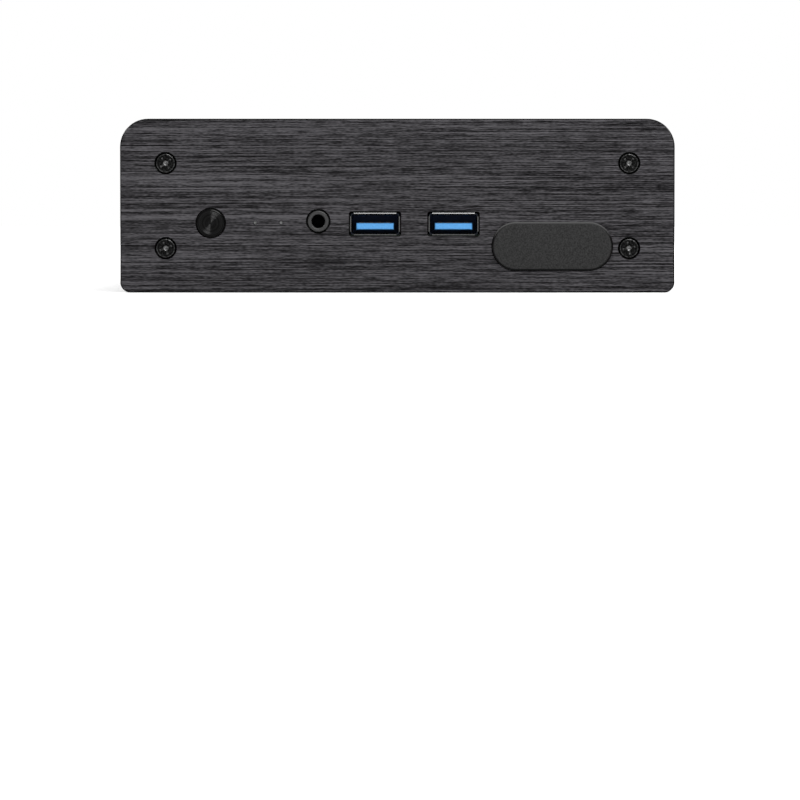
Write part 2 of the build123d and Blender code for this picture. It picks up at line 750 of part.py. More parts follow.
def usb_contacts(x):
    """Long contacts and short front pads, side by side on the tongue."""
    blade_front = usb_front() + USB_TONGUE_RECESS
    block_front = blade_front + USB_TONGUE_L
    pad_front = blade_front + 2 * USB_TONGUE_CHAMFER
    long_span = (blade_front + USB_CONTACT_SETBACK, block_front)
    pad_span = (pad_front, pad_front + USB_PAD_L)
    rows = (
        (USB_CONTACTS, USB_CONTACT_PITCH, USB_CONTACT_W, USB_CONTACT_T, long_span),
        (USB_PADS, USB_PAD_PITCH, USB_PAD_W, USB_PAD_T, pad_span),
    )
    pieces = []
    for count, pitch, width, thickness, y_span in rows:
        for place in range(count):
            centre = x + (place - (count - 1) / 2) * pitch
            x_span = (centre - width / 2, centre + width / 2)
            pieces.append(block(x_span, y_span, (USB_TONGUE_TOP, USB_TONGUE_TOP + thickness)))
    return group(pieces)


def header_points():
    """The places of the header's pins, in two rows."""
    centre = (HEADER_X, BOARD_BACK - HEADER_EDGE)
    grid = GridLocations(HEADER_PITCH, HEADER_PITCH, HEADER_PINS, 2)
    return [(centre[0] + point.position.X, centre[1] + point.position.Y) for point in grid]


def front_io_board():
    """The front circuit board with holes for screws, pins and shell tabs."""
    board = block((BOARD_X_LEFT, BOARD_X_RIGHT), (BOARD_FRONT, BOARD_BACK), (BOARD_Z, BOARD_TOP))
    for x, y in BOARD_POST_POINTS:
        board -= post(x, y, M3_FREE_D, BOARD_Z, BOARD_TOP)
    for x, y in header_points():
        board -= post(x, y, 2 * PIN_W, BOARD_Z, BOARD_TOP)
    slot_w = USB_WALL + 2 * CLEAR_MOVE
    slot_l = USB_TAB_W + 2 * CLEAR_MOVE
    for x in USB_XS.values():
        for side in (-1, 1):
            tab_x = x + side * (usb_outer()[0] - USB_WALL) / 2
            tab_y = usb_front() + USB_TAB_SETBACK
            board -= layer(Pos(tab_x, tab_y) * Rectangle(slot_w, slot_l), BOARD_Z, BOARD_TOP)
    return board


def front_io_header():
    """The header's shroud, open at the top."""
    width = HEADER_PINS * HEADER_PITCH + 2 * HEADER_WALL
    length = 2 * HEADER_PITCH + 2 * HEADER_WALL
    place = Pos(HEADER_X, BOARD_BACK - HEADER_EDGE)
    shroud = layer(place * Rectangle(width, length), BOARD_TOP, BOARD_TOP + HEADER_H)
    well = place * Rectangle(width - 2 * HEADER_WALL, length - 2 * HEADER_WALL)
    shroud -= layer(well, BOARD_TOP + HEADER_FLOOR, BOARD_TOP + HEADER_H)
    for x, y in header_points():
        shroud -= layer(Pos(x, y) * Rectangle(PIN_W, PIN_W), BOARD_TOP, BOARD_TOP + HEADER_FLOOR)
    return shroud


def front_io_pins():
    """The header's square pins, from above the well's floor to below the board."""
    top = BOARD_TOP + HEADER_H - HEADER_WALL
    pin = Rectangle(PIN_W, PIN_W)
    return group(layer(Pos(x, y) * pin, BOARD_Z - PIN_TAIL, top) for x, y in header_points())


def board_screws(points, seat_z, length):
    """Pan head screws with their seats at one height."""
    screw = pan_head_screw(length)
    return group(Pos(x, y, seat_z) * screw for x, y in points)


def serial_port_cover():
    """The oblong rubber cover: a soft-edged face, a neck and a lip behind."""
    hole_w = SERIAL_COVER_W - 2 * SERIAL_MARGIN - 2 * CLEAR_FIT
    hole_h = SERIAL_COVER_H - 2 * SERIAL_MARGIN - 2 * CLEAR_FIT
    face = slab(oblong(SERIAL_X, SERIAL_Z, SERIAL_COVER_W, SERIAL_COVER_H), FRONT_Y - COVER_PROUD, FRONT_Y)
    face = fillet(face.edges().group_by(Axis.Y)[0], COVER_EDGE_R)
    lip_start = FRONT_IN + CLEAR_FIT
    lip_end = lip_start + COVER_LIP_T
    cover = face + slab(oblong(SERIAL_X, SERIAL_Z, hole_w, hole_h), FRONT_Y, lip_start)
    lip = oblong(SERIAL_X, SERIAL_Z, hole_w + 2 * COVER_LIP, hole_h + 2 * COVER_LIP)
    cover += slab(lip, lip_start, lip_end)
    hollow = oblong(SERIAL_X, SERIAL_Z, hole_w - 2 * COVER_WALL, hole_h - 2 * COVER_WALL)
    return cover - slab(hollow, FRONT_Y, lip_end)


def antenna_plug(x):
    """A round rubber cap pressed into an antenna hole of the rear panel."""
    neck_d = ANTENNA_HOLE_D - 2 * CLEAR_FIT
    lip_front = REAR_IN - CLEAR_FIT - COVER_LIP_T
    cap = rod(x, ANTENNA_Z, ANTENNA_CAP_D, REAR_Y, REAR_Y + ANTENNA_PROUD)
    cap = fillet(cap.edges().group_by(Axis.Y)[-1], ANTENNA_EDGE_R)
    cap += rod(x, ANTENNA_Z, neck_d, REAR_IN - CLEAR_FIT, REAR_Y)
    return cap + rod(x, ANTENNA_Z, neck_d + 2 * COVER_LIP, lip_front, REAR_IN - CLEAR_FIT)


def cpu_heat_block():
    """The block on the roof that reaches down to the processor."""
    foot = layer(
        Pos(0, BLOCK_Y) * RectangleRounded(BLOCK_FOOT_W, BLOCK_FOOT_L, BLOCK_EDGE),
        ROOF_Z - BLOCK_FOOT_T,
        ROOF_Z,
    )
    core = layer(Pos(0, BLOCK_Y) * Rectangle(BLOCK_W, BLOCK_L), BLOCK_BASE_Z, ROOF_Z - BLOCK_FOOT_T)
    core = chamfer(core.edges().group_by(Axis.Z)[0], BLOCK_EDGE)
    piece = foot + core
    for x, y in BLOCK_SCREW_POINTS:
        piece -= post(x, y, M3_FREE_D, ROOF_Z - BLOCK_FOOT_T, ROOF_Z)
    return piece


def heat_block_screws():
    """Pan head screws that go up through the block's foot into the roof."""
    screw = Rot(180, 0, 0) * pan_head_screw(BLOCK_SCREW_L)
    return group(Pos(x, y, ROOF_Z - BLOCK_FOOT_T) * screw for x, y in BLOCK_SCREW_POINTS)


def thermal_pad():
    """The soft pad under the heat block."""
    sheet = Rectangle(BLOCK_W - 2 * PAD_INSET, BLOCK_L - 2 * PAD_INSET)
    return layer(Pos(0, BLOCK_Y) * sheet, BLOCK_BASE_Z - PAD_T, BLOCK_BASE_Z)


def drive_bracket():
    """A folded sheet bracket: two feet, two legs and a deck with a window."""
    deck_x = BRACKET_DECK_X
    foot_x = BRACKET_FOOT_X
    mid = BRACKET_T / 2
    low = COVER_TOP + mid
    high = COVER_TOP + BRACKET_RISE - mid
    path = FilletPolyline(
        (-foot_x, low),
        (-deck_x + mid, low),
        (-deck_x + mid, high),
        (deck_x - mid, high),
        (deck_x - mid, low),
        (foot_x, low),
        radius=BRACKET_BEND_R + mid,
    )
    sheet = trace(path, line_width=BRACKET_T)
    bracket = slab(sheet, BRACKET_FRONT, BRACKET_BACK)
    for x, y in BRACKET_SCREW_POINTS:
        bracket -= post(x, y, M3_FREE_D, COVER_TOP, COVER_TOP + BRACKET_T)
    deck_top = COVER_TOP + BRACKET_RISE
    for point in GridLocations(DRIVE_HOLE_X, DRIVE_HOLE_Y, 2, 2):
        x, y = point.position.X, BRACKET_Y + point.position.Y
        bracket -= post(x, y, M3_FREE_D, deck_top - BRACKET_T, deck_top)
    window_w = 2 * (deck_x - BRACKET_RIM_X)
    window_l = BRACKET_L - 2 * BRACKET_RIM_Y
    window = RectangleRounded(window_w, window_l, BRACKET_WINDOW_R)
    return bracket - layer(Pos(0, BRACKET_Y) * window, deck_top - BRACKET_T, deck_top)


def all_parts():
    """Every node of the case by name."""
    parts = {
        "heatsink_body": heatsink_body(),
        "front_panel": front_panel(),
        "rear_panel": rear_panel(),
        "bottom_cover": bottom_cover(),
        "front_panel_screws": panel_screws(FRONT_Y, 90),
        "rear_panel_screws": panel_screws(REAR_Y, -90),
        "power_button": power_button(),
        "button_plunger": button_plunger(),
        "button_switch_body": button_switch_body(),
        "led_holder": led_holder(),
        "audio_jack_body": audio_jack_body(),
        "audio_jack_nose": audio_jack_nose(),
        "front_io_board": front_io_board(),
        "front_io_header": front_io_header(),
        "front_io_pins": front_io_pins(),
        "front_board_posts": cover_posts(BOARD_POST_POINTS, BOARD_Z - COVER_TOP),
        "front_board_screws": board_screws(BOARD_POST_POINTS, BOARD_TOP, BOARD_SCREW_L),
        "main_board_posts": cover_posts(MAIN_POST_POINTS, MAIN_POST_H),
        "cpu_heat_block": cpu_heat_block(),
        "heat_block_screws": heat_block_screws(),
        "thermal_pad": thermal_pad(),
        "drive_bracket": drive_bracket(),
        "drive_bracket_screws": board_screws(
            BRACKET_SCREW_POINTS, COVER_TOP + BRACKET_T, BRACKET_T + COVER_T
        ),
        "serial_port_cover": serial_port_cover(),
    }
    for name, x in LED_XS.items():
        parts[f"{name}_led"] = led(x)
        parts[f"{name}_led_pipe"] = led_pipe(x)
    for name, x in USB_XS.items():
        parts[f"usb_shell_{name}"] = usb_shell(x)
        parts[f"usb_tongue_{name}"] = usb_tongue(x)
        parts[f"usb_contacts_{name}"] = usb_contacts(x)
    for name, x in ANTENNA_XS.items():
        parts[f"antenna_plug_{name}"] = antenna_plug(x)
    return parts


os.makedirs("parts", exist_ok=True)
for node, solid in all_parts().items():
    export_step(solid, f"parts/{node}.step")
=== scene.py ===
# %% [markdown]
# A fanless mini PC case, dressed for a studio picture. The solids of the case come
# ready made from the frame, at their real size. This lesson gives each of them its
# finish, and models anew the few small turned and pressed pieces whose charm is in
# detail finer than the solids carry.

# %% Load the frame
import json
import math

import bpy
from mathutils import Matrix, Vector


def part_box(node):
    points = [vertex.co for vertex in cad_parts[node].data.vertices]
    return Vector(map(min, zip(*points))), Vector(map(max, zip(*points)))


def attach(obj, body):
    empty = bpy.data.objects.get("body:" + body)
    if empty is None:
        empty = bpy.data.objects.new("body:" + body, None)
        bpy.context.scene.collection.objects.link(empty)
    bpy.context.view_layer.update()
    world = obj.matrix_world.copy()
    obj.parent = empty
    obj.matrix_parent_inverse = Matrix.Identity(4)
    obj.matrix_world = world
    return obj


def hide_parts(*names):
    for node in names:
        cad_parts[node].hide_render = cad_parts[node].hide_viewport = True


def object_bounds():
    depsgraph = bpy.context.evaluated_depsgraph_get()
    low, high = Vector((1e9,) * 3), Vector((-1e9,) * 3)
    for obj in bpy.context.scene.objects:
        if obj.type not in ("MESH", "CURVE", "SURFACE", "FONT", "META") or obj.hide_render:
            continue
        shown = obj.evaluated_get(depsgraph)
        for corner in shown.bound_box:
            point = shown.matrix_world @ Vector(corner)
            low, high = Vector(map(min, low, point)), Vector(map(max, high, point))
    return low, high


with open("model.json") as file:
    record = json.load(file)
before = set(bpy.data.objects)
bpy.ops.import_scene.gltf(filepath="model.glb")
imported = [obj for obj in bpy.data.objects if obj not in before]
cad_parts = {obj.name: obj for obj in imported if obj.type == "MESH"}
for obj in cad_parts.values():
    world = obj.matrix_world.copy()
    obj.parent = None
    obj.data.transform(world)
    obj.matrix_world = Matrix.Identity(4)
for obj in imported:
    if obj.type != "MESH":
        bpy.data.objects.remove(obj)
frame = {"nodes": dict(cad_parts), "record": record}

cad_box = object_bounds()
nodes = frame["nodes"]
print("nodes:", len(nodes))

# %% [markdown]
# Blender counts in metres, and a case like this is made in millimetres, so one named
# value turns the one into the other. Places are read from the frame's boxes, so that
# everything made here sits where the solid it dresses sits.

# %% Sizes and places
MM = 0.001
case_low, case_high = cad_box
case_middle = (case_low + case_high) / 2
plate_low, plate_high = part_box("front_panel")
body_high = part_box("heatsink_body")[1]
print("case in millimetres:", [round(size / MM, 2) for size in case_high - case_low])

# %% [markdown]
# A material in Blender is a small graph of nodes. A few helpers keep the recipes below
# readable: they add a node with its values and links, do a sum, stretch a value, blend
# two colours by a mask, start a finish and give it relief. Writing them once costs less
# than repeating the wiring in every finish.

# %% Helpers for node graphs
# Sockets of the node that mixes colours: its mask, its two colours and its result
MIX_MASK, MIX_LOW, MIX_HIGH = 0, 6, 7
MIX_RESULT = 2


def add_node(tree, kind, inputs=None, **settings):
    """A new node with its settings, and a value or a link for each named input."""
    node = tree.nodes.new(kind)
    for name, value in settings.items():
        setattr(node, name, value)
    for key, value in (inputs or {}).items():
        if isinstance(value, bpy.types.NodeSocket):
            tree.links.new(value, node.inputs[key])
        else:
            node.inputs[key].default_value = value
    return node


def calc(tree, operation, *values, clamp=False):
    """The result of one sum on numbers or sockets."""
    inputs = dict(enumerate(values))
    return add_node(tree, "ShaderNodeMath", inputs, operation=operation, use_clamp=clamp).outputs[0]


def remap(tree, value, from_low, from_high, to_low, to_high):
    """A value stretched from one span to another, and held inside it."""
    inputs = {"Value": value, "From Min": from_low, "From Max": from_high}
    inputs |= {"To Min": to_low, "To Max": to_high}
    return add_node(tree, "ShaderNodeMapRange", inputs).outputs["Result"]


def blend_colours(tree, mask, low, high):
    """A colour between two others, by a mask."""
    inputs = {MIX_MASK: mask, MIX_LOW: low, MIX_HIGH: high}
    return add_node(tree, "ShaderNodeMix", inputs, data_type="RGBA").outputs[MIX_RESULT]


def grey(value, blue=1.0):
    """A grey, a little cooler where blue is over 1."""
    return (value, value, value * blue, 1.0)


def new_finish(name, **constants):
    """A material with its shader's plain values set, and its graph."""
    material = bpy.data.materials.new(name)
    material.use_nodes = True
    tree = material.node_tree
    shader = tree.nodes["Principled BSDF"]
    for key, value in constants.items():
        shader.inputs[key.replace("_", " ")].default_value = value
    return material, tree, shader


def add_bump(tree, shader, height, distance, strength):
    """Fine relief on a finish, as deep as distance in metres."""
    inputs = {"Height": height, "Distance": distance, "Strength": strength}
    bump = add_node(tree, "ShaderNodeBump", inputs)
    tree.links.new(bump.outputs["Normal"], shader.inputs["Normal"])


print("helpers ready")

# %% [markdown]
# Effects that several finishes share are shader node groups: a group is drawn once and
# placed in each material with values of its own. Each one puts out masks and heights
# only, and the shader stays in the material.

# %% Helper for node groups
def new_group(name, inputs, outputs):
    """An empty group with named inputs and outputs, and its two end nodes."""
    group = bpy.data.node_groups.new(name, "ShaderNodeTree")
    for title, kind, value in inputs:
        socket = group.interface.new_socket(title, in_out="INPUT", socket_type=kind)
        if value is not None:
            socket.default_value = value
    for title in outputs:
        group.interface.new_socket(title, in_out="OUTPUT", socket_type="NodeSocketFloat")
    given = group.nodes.new("NodeGroupInput").outputs
    return group, given, group.nodes.new("NodeGroupOutput").inputs


def place_group(tree, group, inputs):
    """A group placed in a material, with its own values."""
    return add_node(tree, "ShaderNodeGroup", inputs, node_tree=group).outputs


def turned_axes(tree, order):
    """The object's own coordinates with their axes in another order."""
    place = add_node(tree, "ShaderNodeTexCoord").outputs["Object"]
    axes = add_node(tree, "ShaderNodeSeparateXYZ", {0: place}).outputs
    turned = {index: axes[axis] for index, axis in enumerate(order)}
    return add_node(tree, "ShaderNodeCombineXYZ", turned).outputs[0]


def distance_from_axis(tree):
    """How far a point lies from the Z axis of the object's own coordinates."""
    place = add_node(tree, "ShaderNodeTexCoord").outputs["Object"]
    inputs = {0: place, 1: (1.0, 1.0, 0.0)}
    flat = add_node(tree, "ShaderNodeVectorMath", inputs, operation="MULTIPLY").outputs[0]
    return add_node(tree, "ShaderNodeVectorMath", {0: flat}, operation="LENGTH").outputs["Value"]


print("group helpers ready")

# %% [markdown]
# Brushed metal is a field of fine parallel scratches: long along the stroke, a few
# tenths of a millimetre across, with broader bands where the belt pressed harder. A
# photograph of scratches would do, but stretched noise needs no image and never
# repeats. Six noises are laid over each other, from hairs a tenth of a millimetre thin
# that run on for a hand's width to short nicks and broad bands.

# %% Group: brushed grain
# Each layer: stretch of the strokes, steps of finer noise, and weight
STROKE_LAYERS = (
    ((0.5, 1.6, 1.6), 2.0, 1.9),
    ((3.0, 1.9, 1.9), 0.0, 1.3),
    ((12.0, 2.2, 2.2), 0.0, 0.95),
    ((0.2, 0.16, 0.16), 1.0, 0.35),
    ((0.12, 4.0, 4.0), 0.0, 1.6),
    ((0.09, 1.5, 1.5), 0.0, 0.6),
)
NOISE_MIDDLE = 0.5


def brushed_grain_group():
    """Scratches along the first axis of the vector it is given."""
    group, given, out = new_group(
        "brushed grain",
        (
            ("Vector", "NodeSocketVector", None),
            ("Stroke Length", "NodeSocketFloat", 0.012),
            ("Stroke Width", "NodeSocketFloat", 0.0004),
        ),
        ("Shade", "Height"),
    )
    along = calc(group, "DIVIDE", 1.0, given["Stroke Length"])
    across = calc(group, "DIVIDE", 1.0, given["Stroke Width"])
    scale = add_node(group, "ShaderNodeCombineXYZ", {0: along, 1: across, 2: across}).outputs[0]
    inputs = {0: given["Vector"], 1: scale}
    strokes = add_node(group, "ShaderNodeVectorMath", inputs, operation="MULTIPLY").outputs[0]
    total = NOISE_MIDDLE
    for stretch, detail, weight in STROKE_LAYERS:
        inputs = {0: strokes, 1: stretch}
        layer = add_node(group, "ShaderNodeVectorMath", inputs, operation="MULTIPLY").outputs[0]
        noise_inputs = {"Vector": layer, "Scale": 1.0, "Detail": detail, "Roughness": 0.6}
        noise = add_node(group, "ShaderNodeTexNoise", noise_inputs).outputs["Fac"]
        centred = calc(group, "SUBTRACT", noise, NOISE_MIDDLE)
        total = calc(group, "MULTIPLY_ADD", centred, weight, total)
    group.links.new(calc(group, "ADD", total, 0.0, clamp=True), out["Shade"])
    group.links.new(total, out["Height"])
    return group


brushed_grain = brushed_grain_group()
print("group:", brushed_grain.name)

# %% [markdown]
# Many pieces are finished on one side only: the plates are brushed on their faces and
# bright cut round their edges. The surface normal tells the two apart. This group
# compares it with an axis and gives a mask of what faces that way, either way round.

# %% Group: facing mask
MASK_RAMP = 0.1


def facing_mask_group():
    """1 where the surface faces along an axis, 0 where it turns away."""
    group, given, out = new_group(
        "facing mask",
        (("Axis", "NodeSocketVector", (0.0, 1.0, 0.0)), ("Edge", "NodeSocketFloat", 0.9)),
        ("Mask",),
    )
    normal = add_node(group, "ShaderNodeTexCoord").outputs["Normal"]
    dot = add_node(group, "ShaderNodeVectorMath", {0: normal, 1: given["Axis"]}, operation="DOT_PRODUCT")
    facing = calc(group, "ABSOLUTE", dot.outputs["Value"])
    start = calc(group, "SUBTRACT", given["Edge"], MASK_RAMP)
    group.links.new(remap(group, facing, start, given["Edge"], 0.0, 1.0), out["Mask"])
    return group


facing_mask = facing_mask_group()
print("group:", facing_mask.name)

# %% [markdown]
# Rubber, moulded plastic, plating and circuit board all have a fine even unevenness.
# One speckle group serves them all, and only the size of its grain changes. A noise
# seldom leaves the middle of its range, so that middle is stretched to a full mask.

# %% Group: fine speckle
NOISE_SPAN = (0.3, 0.7)


def fine_speckle_group():
    """An even mottle without direction."""
    group, given, out = new_group(
        "fine speckle", (("Grain Size", "NodeSocketFloat", 0.0003),), ("Shade", "Height")
    )
    place = add_node(group, "ShaderNodeTexCoord").outputs["Object"]
    finer = calc(group, "DIVIDE", 1.0, given["Grain Size"])
    noise_inputs = {"Vector": place, "Scale": finer, "Detail": 3.0, "Roughness": 0.65}
    noise = add_node(group, "ShaderNodeTexNoise", noise_inputs).outputs["Fac"]
    group.links.new(remap(group, noise, *NOISE_SPAN, 0.0, 1.0), out["Shade"])
    group.links.new(noise, out["Height"])
    return group


fine_speckle = fine_speckle_group()
print("group:", fine_speckle.name)

# %% [markdown]
# A turned face keeps the spiral of the tool as fine rings. The group measures the
# distance from the piece's own Z axis and lays a ripple over it, with a little noise
# from ring to ring, because no two passes of a tool cut quite alike.

# %% Group: turning marks
def turning_marks_group():
    """Rings round the Z axis of the object's own coordinates."""
    group, given, out = new_group(
        "turning marks", (("Pitch", "NodeSocketFloat", 0.00015),), ("Shade", "Height")
    )
    passes = calc(group, "DIVIDE", distance_from_axis(group), given["Pitch"])
    ripple = calc(group, "SINE", calc(group, "MULTIPLY", passes, math.tau))
    noise = add_node(group, "ShaderNodeTexNoise", {"W": passes, "Scale": 1.0}, noise_dimensions="1D")
    group.links.new(remap(group, noise.outputs[0], *NOISE_SPAN, 0.0, 1.0), out["Shade"])
    group.links.new(remap(group, ripple, -1.0, 1.0, 0.0, 1.0), out["Height"])
    return group


turning_marks = turning_marks_group()
print("group:", turning_marks.name)

# %% [markdown]
# A receptacle is a small dark room behind the panel. Its lips and the tip of its tongue
# stand in the light, and all that lies deeper is nearly black. A renderer needs many
# samples to darken such a room by itself, so this group measures how deep a point lies
# behind a plane across Y, on the piece and not from the camera.

# %% Group: depth fade
def depth_fade_group():
    """0 in front of a start along Y, 1 from a reach behind it."""
    group, given, out = new_group(
        "depth fade",
        (("Start", "NodeSocketFloat", 0.0), ("Reach", "NodeSocketFloat", 0.001)),
        ("Depth",),
    )
    place = add_node(group, "ShaderNodeTexCoord").outputs["Object"]
    along = add_node(group, "ShaderNodeSeparateXYZ", {0: place}).outputs[1]
    end = calc(group, "ADD", given["Start"], given["Reach"])
    group.links.new(remap(group, along, given["Start"], end, 0.0, 1.0), out["Depth"])
    return group


depth_fade = depth_fade_group()
print("group:", depth_fade.name)

# %% [markdown]
# The two end plates are aluminium, brushed from side to side and then anodised black.
# A dyed oxide over metal could be a black paint with a clear coat, but it looks flat.
# A metal with a very dark colour that follows the scratches keeps the silky shine. The
# cut edges miss the brushing, so there the facing mask makes them darker and glossier.

# %% Finish: brushed plates
SHINE_CURVE = 1.6
GRAIN_RELIEF = 0.02 * MM
GRAIN_STRENGTH = 0.35
PLATE_STROKES = {"Stroke Length": 14 * MM, "Stroke Width": 0.42 * MM}
PLATE_BLACK = ((0.006, 0.0058, 0.0062, 1.0), (0.083, 0.08, 0.086, 1.0))
PLATE_SATIN = (0.5, 0.36)
CUT_EDGE = grey(0.005)
CUT_EDGE_ROUGH = 0.22


def brushed_plate():
    """Black anodised plate with strokes along X."""
    material, tree, shader = new_finish("black_plate", Metallic=1.0)
    vector = turned_axes(tree, (0, 2, 1))
    grain = place_group(tree, brushed_grain, {"Vector": vector} | PLATE_STROKES)
    face = place_group(tree, facing_mask, {"Axis": (0.0, 1.0, 0.0), "Edge": 0.95})["Mask"]
    shine = calc(tree, "POWER", grain["Shade"], SHINE_CURVE)
    brushed = blend_colours(tree, shine, *PLATE_BLACK)
    colour = blend_colours(tree, face, CUT_EDGE, brushed)
    tree.links.new(colour, shader.inputs["Base Color"])
    satin = remap(tree, grain["Shade"], 0.0, 1.0, *PLATE_SATIN)
    above_edge = calc(tree, "SUBTRACT", satin, CUT_EDGE_ROUGH)
    rough = calc(tree, "MULTIPLY_ADD", face, above_edge, CUT_EDGE_ROUGH)
    tree.links.new(rough, shader.inputs["Roughness"])
    height = calc(tree, "MULTIPLY", grain["Height"], face)
    add_bump(tree, shader, height, GRAIN_RELIEF, GRAIN_STRENGTH)
    return material


print("finish:", brushed_plate.__doc__)

# %% [markdown]
# The body is an extrusion, brushed along its length, so its strokes run front to back.
# The belt reaches only what stands out: fin tips, the bands above and below them, and
# the top. The floors of the gaps keep the dull black of bare anodising, painted darker
# still as painted shade of the narrow gaps. A mask from the distance to the outer faces
# separates them, as the belt did.

# %% Finish: finned body
TOP_BAND = 6.9 * MM
BELT_REACH = 0.35 * MM
BODY_STROKES = {"Stroke Length": 22 * MM, "Stroke Width": 0.4 * MM}
BODY_BLACK = (grey(0.012, 1.03), grey(0.16, 1.02))
BODY_SATIN = (0.46, 0.34)
GAP_BLACK_AND_SHADE = grey(0.002)
GAP_ROUGH = 0.6
GAP_METAL = 0.3


def finned_body():
    """Black anodised extrusion, brushed on its outermost faces only."""
    material, tree, shader = new_finish("black_extrusion", Specular_IOR_Level=0.15)
    vector = turned_axes(tree, (1, 2, 0))
    grain = place_group(tree, brushed_grain, {"Vector": vector} | BODY_STROKES)
    place = add_node(tree, "ShaderNodeTexCoord").outputs["Object"]
    axes = add_node(tree, "ShaderNodeSeparateXYZ", {0: place}).outputs
    half_width = calc(tree, "ABSOLUTE", axes[0])
    tip = body_high.x - BELT_REACH
    outer_x = remap(tree, half_width, tip - BELT_REACH, tip, 0.0, 1.0)
    band_start = body_high.z - TOP_BAND
    outer_z = remap(tree, axes[2], band_start, band_start + BELT_REACH, 0.0, 1.0)
    outer = calc(tree, "MAXIMUM", outer_x, outer_z)
    shine = calc(tree, "POWER", grain["Shade"], SHINE_CURVE)
    brushed = blend_colours(tree, shine, *BODY_BLACK)
    # Gap floors: bare anodising, and painted near black as painted shade of the gaps
    tree.links.new(blend_colours(tree, outer, GAP_BLACK_AND_SHADE, brushed), shader.inputs["Base Color"])
    tree.links.new(remap(tree, outer, 0.0, 1.0, GAP_METAL, 1.0), shader.inputs["Metallic"])
    satin = remap(tree, grain["Shade"], 0.0, 1.0, *BODY_SATIN)
    above_gap = calc(tree, "SUBTRACT", satin, GAP_ROUGH)
    rough = calc(tree, "MULTIPLY_ADD", outer, above_gap, GAP_ROUGH)
    tree.links.new(rough, shader.inputs["Roughness"])
    height = calc(tree, "MULTIPLY", grain["Height"], outer)
    add_bump(tree, shader, height, GRAIN_RELIEF, GRAIN_STRENGTH)
    return material


print("finish:", finned_body.__doc__)

# %% [markdown]
# Many finishes differ in a few values only: two colours that the speckle blends, how
# rough and how metallic they are, and how deep the relief is. So one function makes
# them all, and a line of plain words and numbers describes each.

# %% Finish: speckled surfaces
ROUGH_SPREAD = 0.06
SPECKLE_STRENGTH = 0.5


def speckled(name, low, high, rough, grain, depth, **constants):
    """A surface with an even mottle between two colours."""
    material, tree, shader = new_finish(name, **constants)
    speckle = place_group(tree, fine_speckle, {"Grain Size": grain})
    tree.links.new(blend_colours(tree, speckle["Shade"], low, high), shader.inputs["Base Color"])
    spread = (rough - ROUGH_SPREAD, rough + ROUGH_SPREAD)
    roughness = remap(tree, speckle["Shade"], 0.0, 1.0, *spread)
    tree.links.new(roughness, shader.inputs["Roughness"])
    add_bump(tree, shader, speckle["Height"], depth, SPECKLE_STRENGTH)
    return material


PLASTIC_BLACK = (grey(0.003), grey(0.006))
PLASTIC_GREY = (grey(0.014), grey(0.024))
ZINC = (grey(0.5), grey(0.62))
SOLDER_MASK = ((0.004, 0.045, 0.014, 1.0), (0.008, 0.08, 0.028, 1.0))
# Gold darkened far below its own colour as painted shade of the receptacle; the hidden brass posts share
# it
GOLD_IN_SHADE = ((0.03, 0.018, 0.009, 1.0), (0.08, 0.05, 0.022, 1.0))
PAD_BLUE = ((0.3, 0.36, 0.45, 1.0), (0.42, 0.48, 0.56, 1.0))
print("finish:", speckled.__doc__)

# %% [markdown]
# The rubber covers have a dusty matt face, where the mould was etched. Their rounded
# edges came off a polished part of the mould, so they are a little glossier, and their
# colour is painted darker as painted shade, which draws a dark line round the face. The
# facing mask divides the two again. The part of the edge that looks up, which the height
# of the normal picks out, gets a painted highlight.

# %% Finish: moulded rubber
RUBBER_FACE = (grey(0.013), grey(0.04))
RUBBER_EDGE_SHADE = grey(0.001)
RUBBER_ROUGH = (0.25, 0.65)
ETCH_DEPTH = 0.05 * MM
PAINTED_TOP_HIGHLIGHT = grey(0.085)
HIGHLIGHT_SLOPE = (0.3, 0.7)


def moulded_rubber():
    """Matt black rubber with a speckled face, edges in painted shade and a painted highlight on top."""
    material, tree, shader = new_finish("black_rubber", Specular_IOR_Level=0.08)
    face = place_group(tree, facing_mask, {"Axis": (0.0, 1.0, 0.0), "Edge": 0.98})["Mask"]
    speckle = place_group(tree, fine_speckle, {"Grain Size": 0.4 * MM})
    normal = add_node(tree, "ShaderNodeTexCoord").outputs["Normal"]
    upward = add_node(tree, "ShaderNodeSeparateXYZ", {0: normal}).outputs[2]
    top_highlight = remap(tree, upward, *HIGHLIGHT_SLOPE, 0.0, 1.0)
    # Painted shade on the rounded edges, and a painted highlight where they look up
    edge = blend_colours(tree, top_highlight, RUBBER_EDGE_SHADE, PAINTED_TOP_HIGHLIGHT)
    etched = blend_colours(tree, speckle["Shade"], *RUBBER_FACE)
    tree.links.new(blend_colours(tree, face, edge, etched), shader.inputs["Base Color"])
    tree.links.new(remap(tree, face, 0.0, 1.0, *RUBBER_ROUGH), shader.inputs["Roughness"])
    height = calc(tree, "MULTIPLY", speckle["Height"], face)
    add_bump(tree, shader, height, ETCH_DEPTH, SPECKLE_STRENGTH)
    return material


print("finish:", moulded_rubber.__doc__)

# %% [markdown]
# Turned pieces get their finish from the turning marks, as two tones of one metal. The
# piece's own Z axis has to be the axis it was turned on, so this finish is for a piece
# that is modelled below, about an axis of its own.

# %% Finish: turned metal
RING_STRENGTH = 0.4
RING_SPREAD = 0.08


def turned_metal(name, low, high, rough, pitch, depth):
    """A lathe-cut metal surface with fine rings."""
    material, tree, shader = new_finish(name, Metallic=1.0)
    marks = place_group(tree, turning_marks, {"Pitch": pitch})
    tree.links.new(blend_colours(tree, marks["Shade"], low, high), shader.inputs["Base Color"])
    roughness = remap(tree, marks["Shade"], 0.0, 1.0, rough, rough + RING_SPREAD)
    tree.links.new(roughness, shader.inputs["Roughness"])
    add_bump(tree, shader, marks["Height"], depth, RING_STRENGTH)
    return material


print("finish:", turned_metal.__doc__)

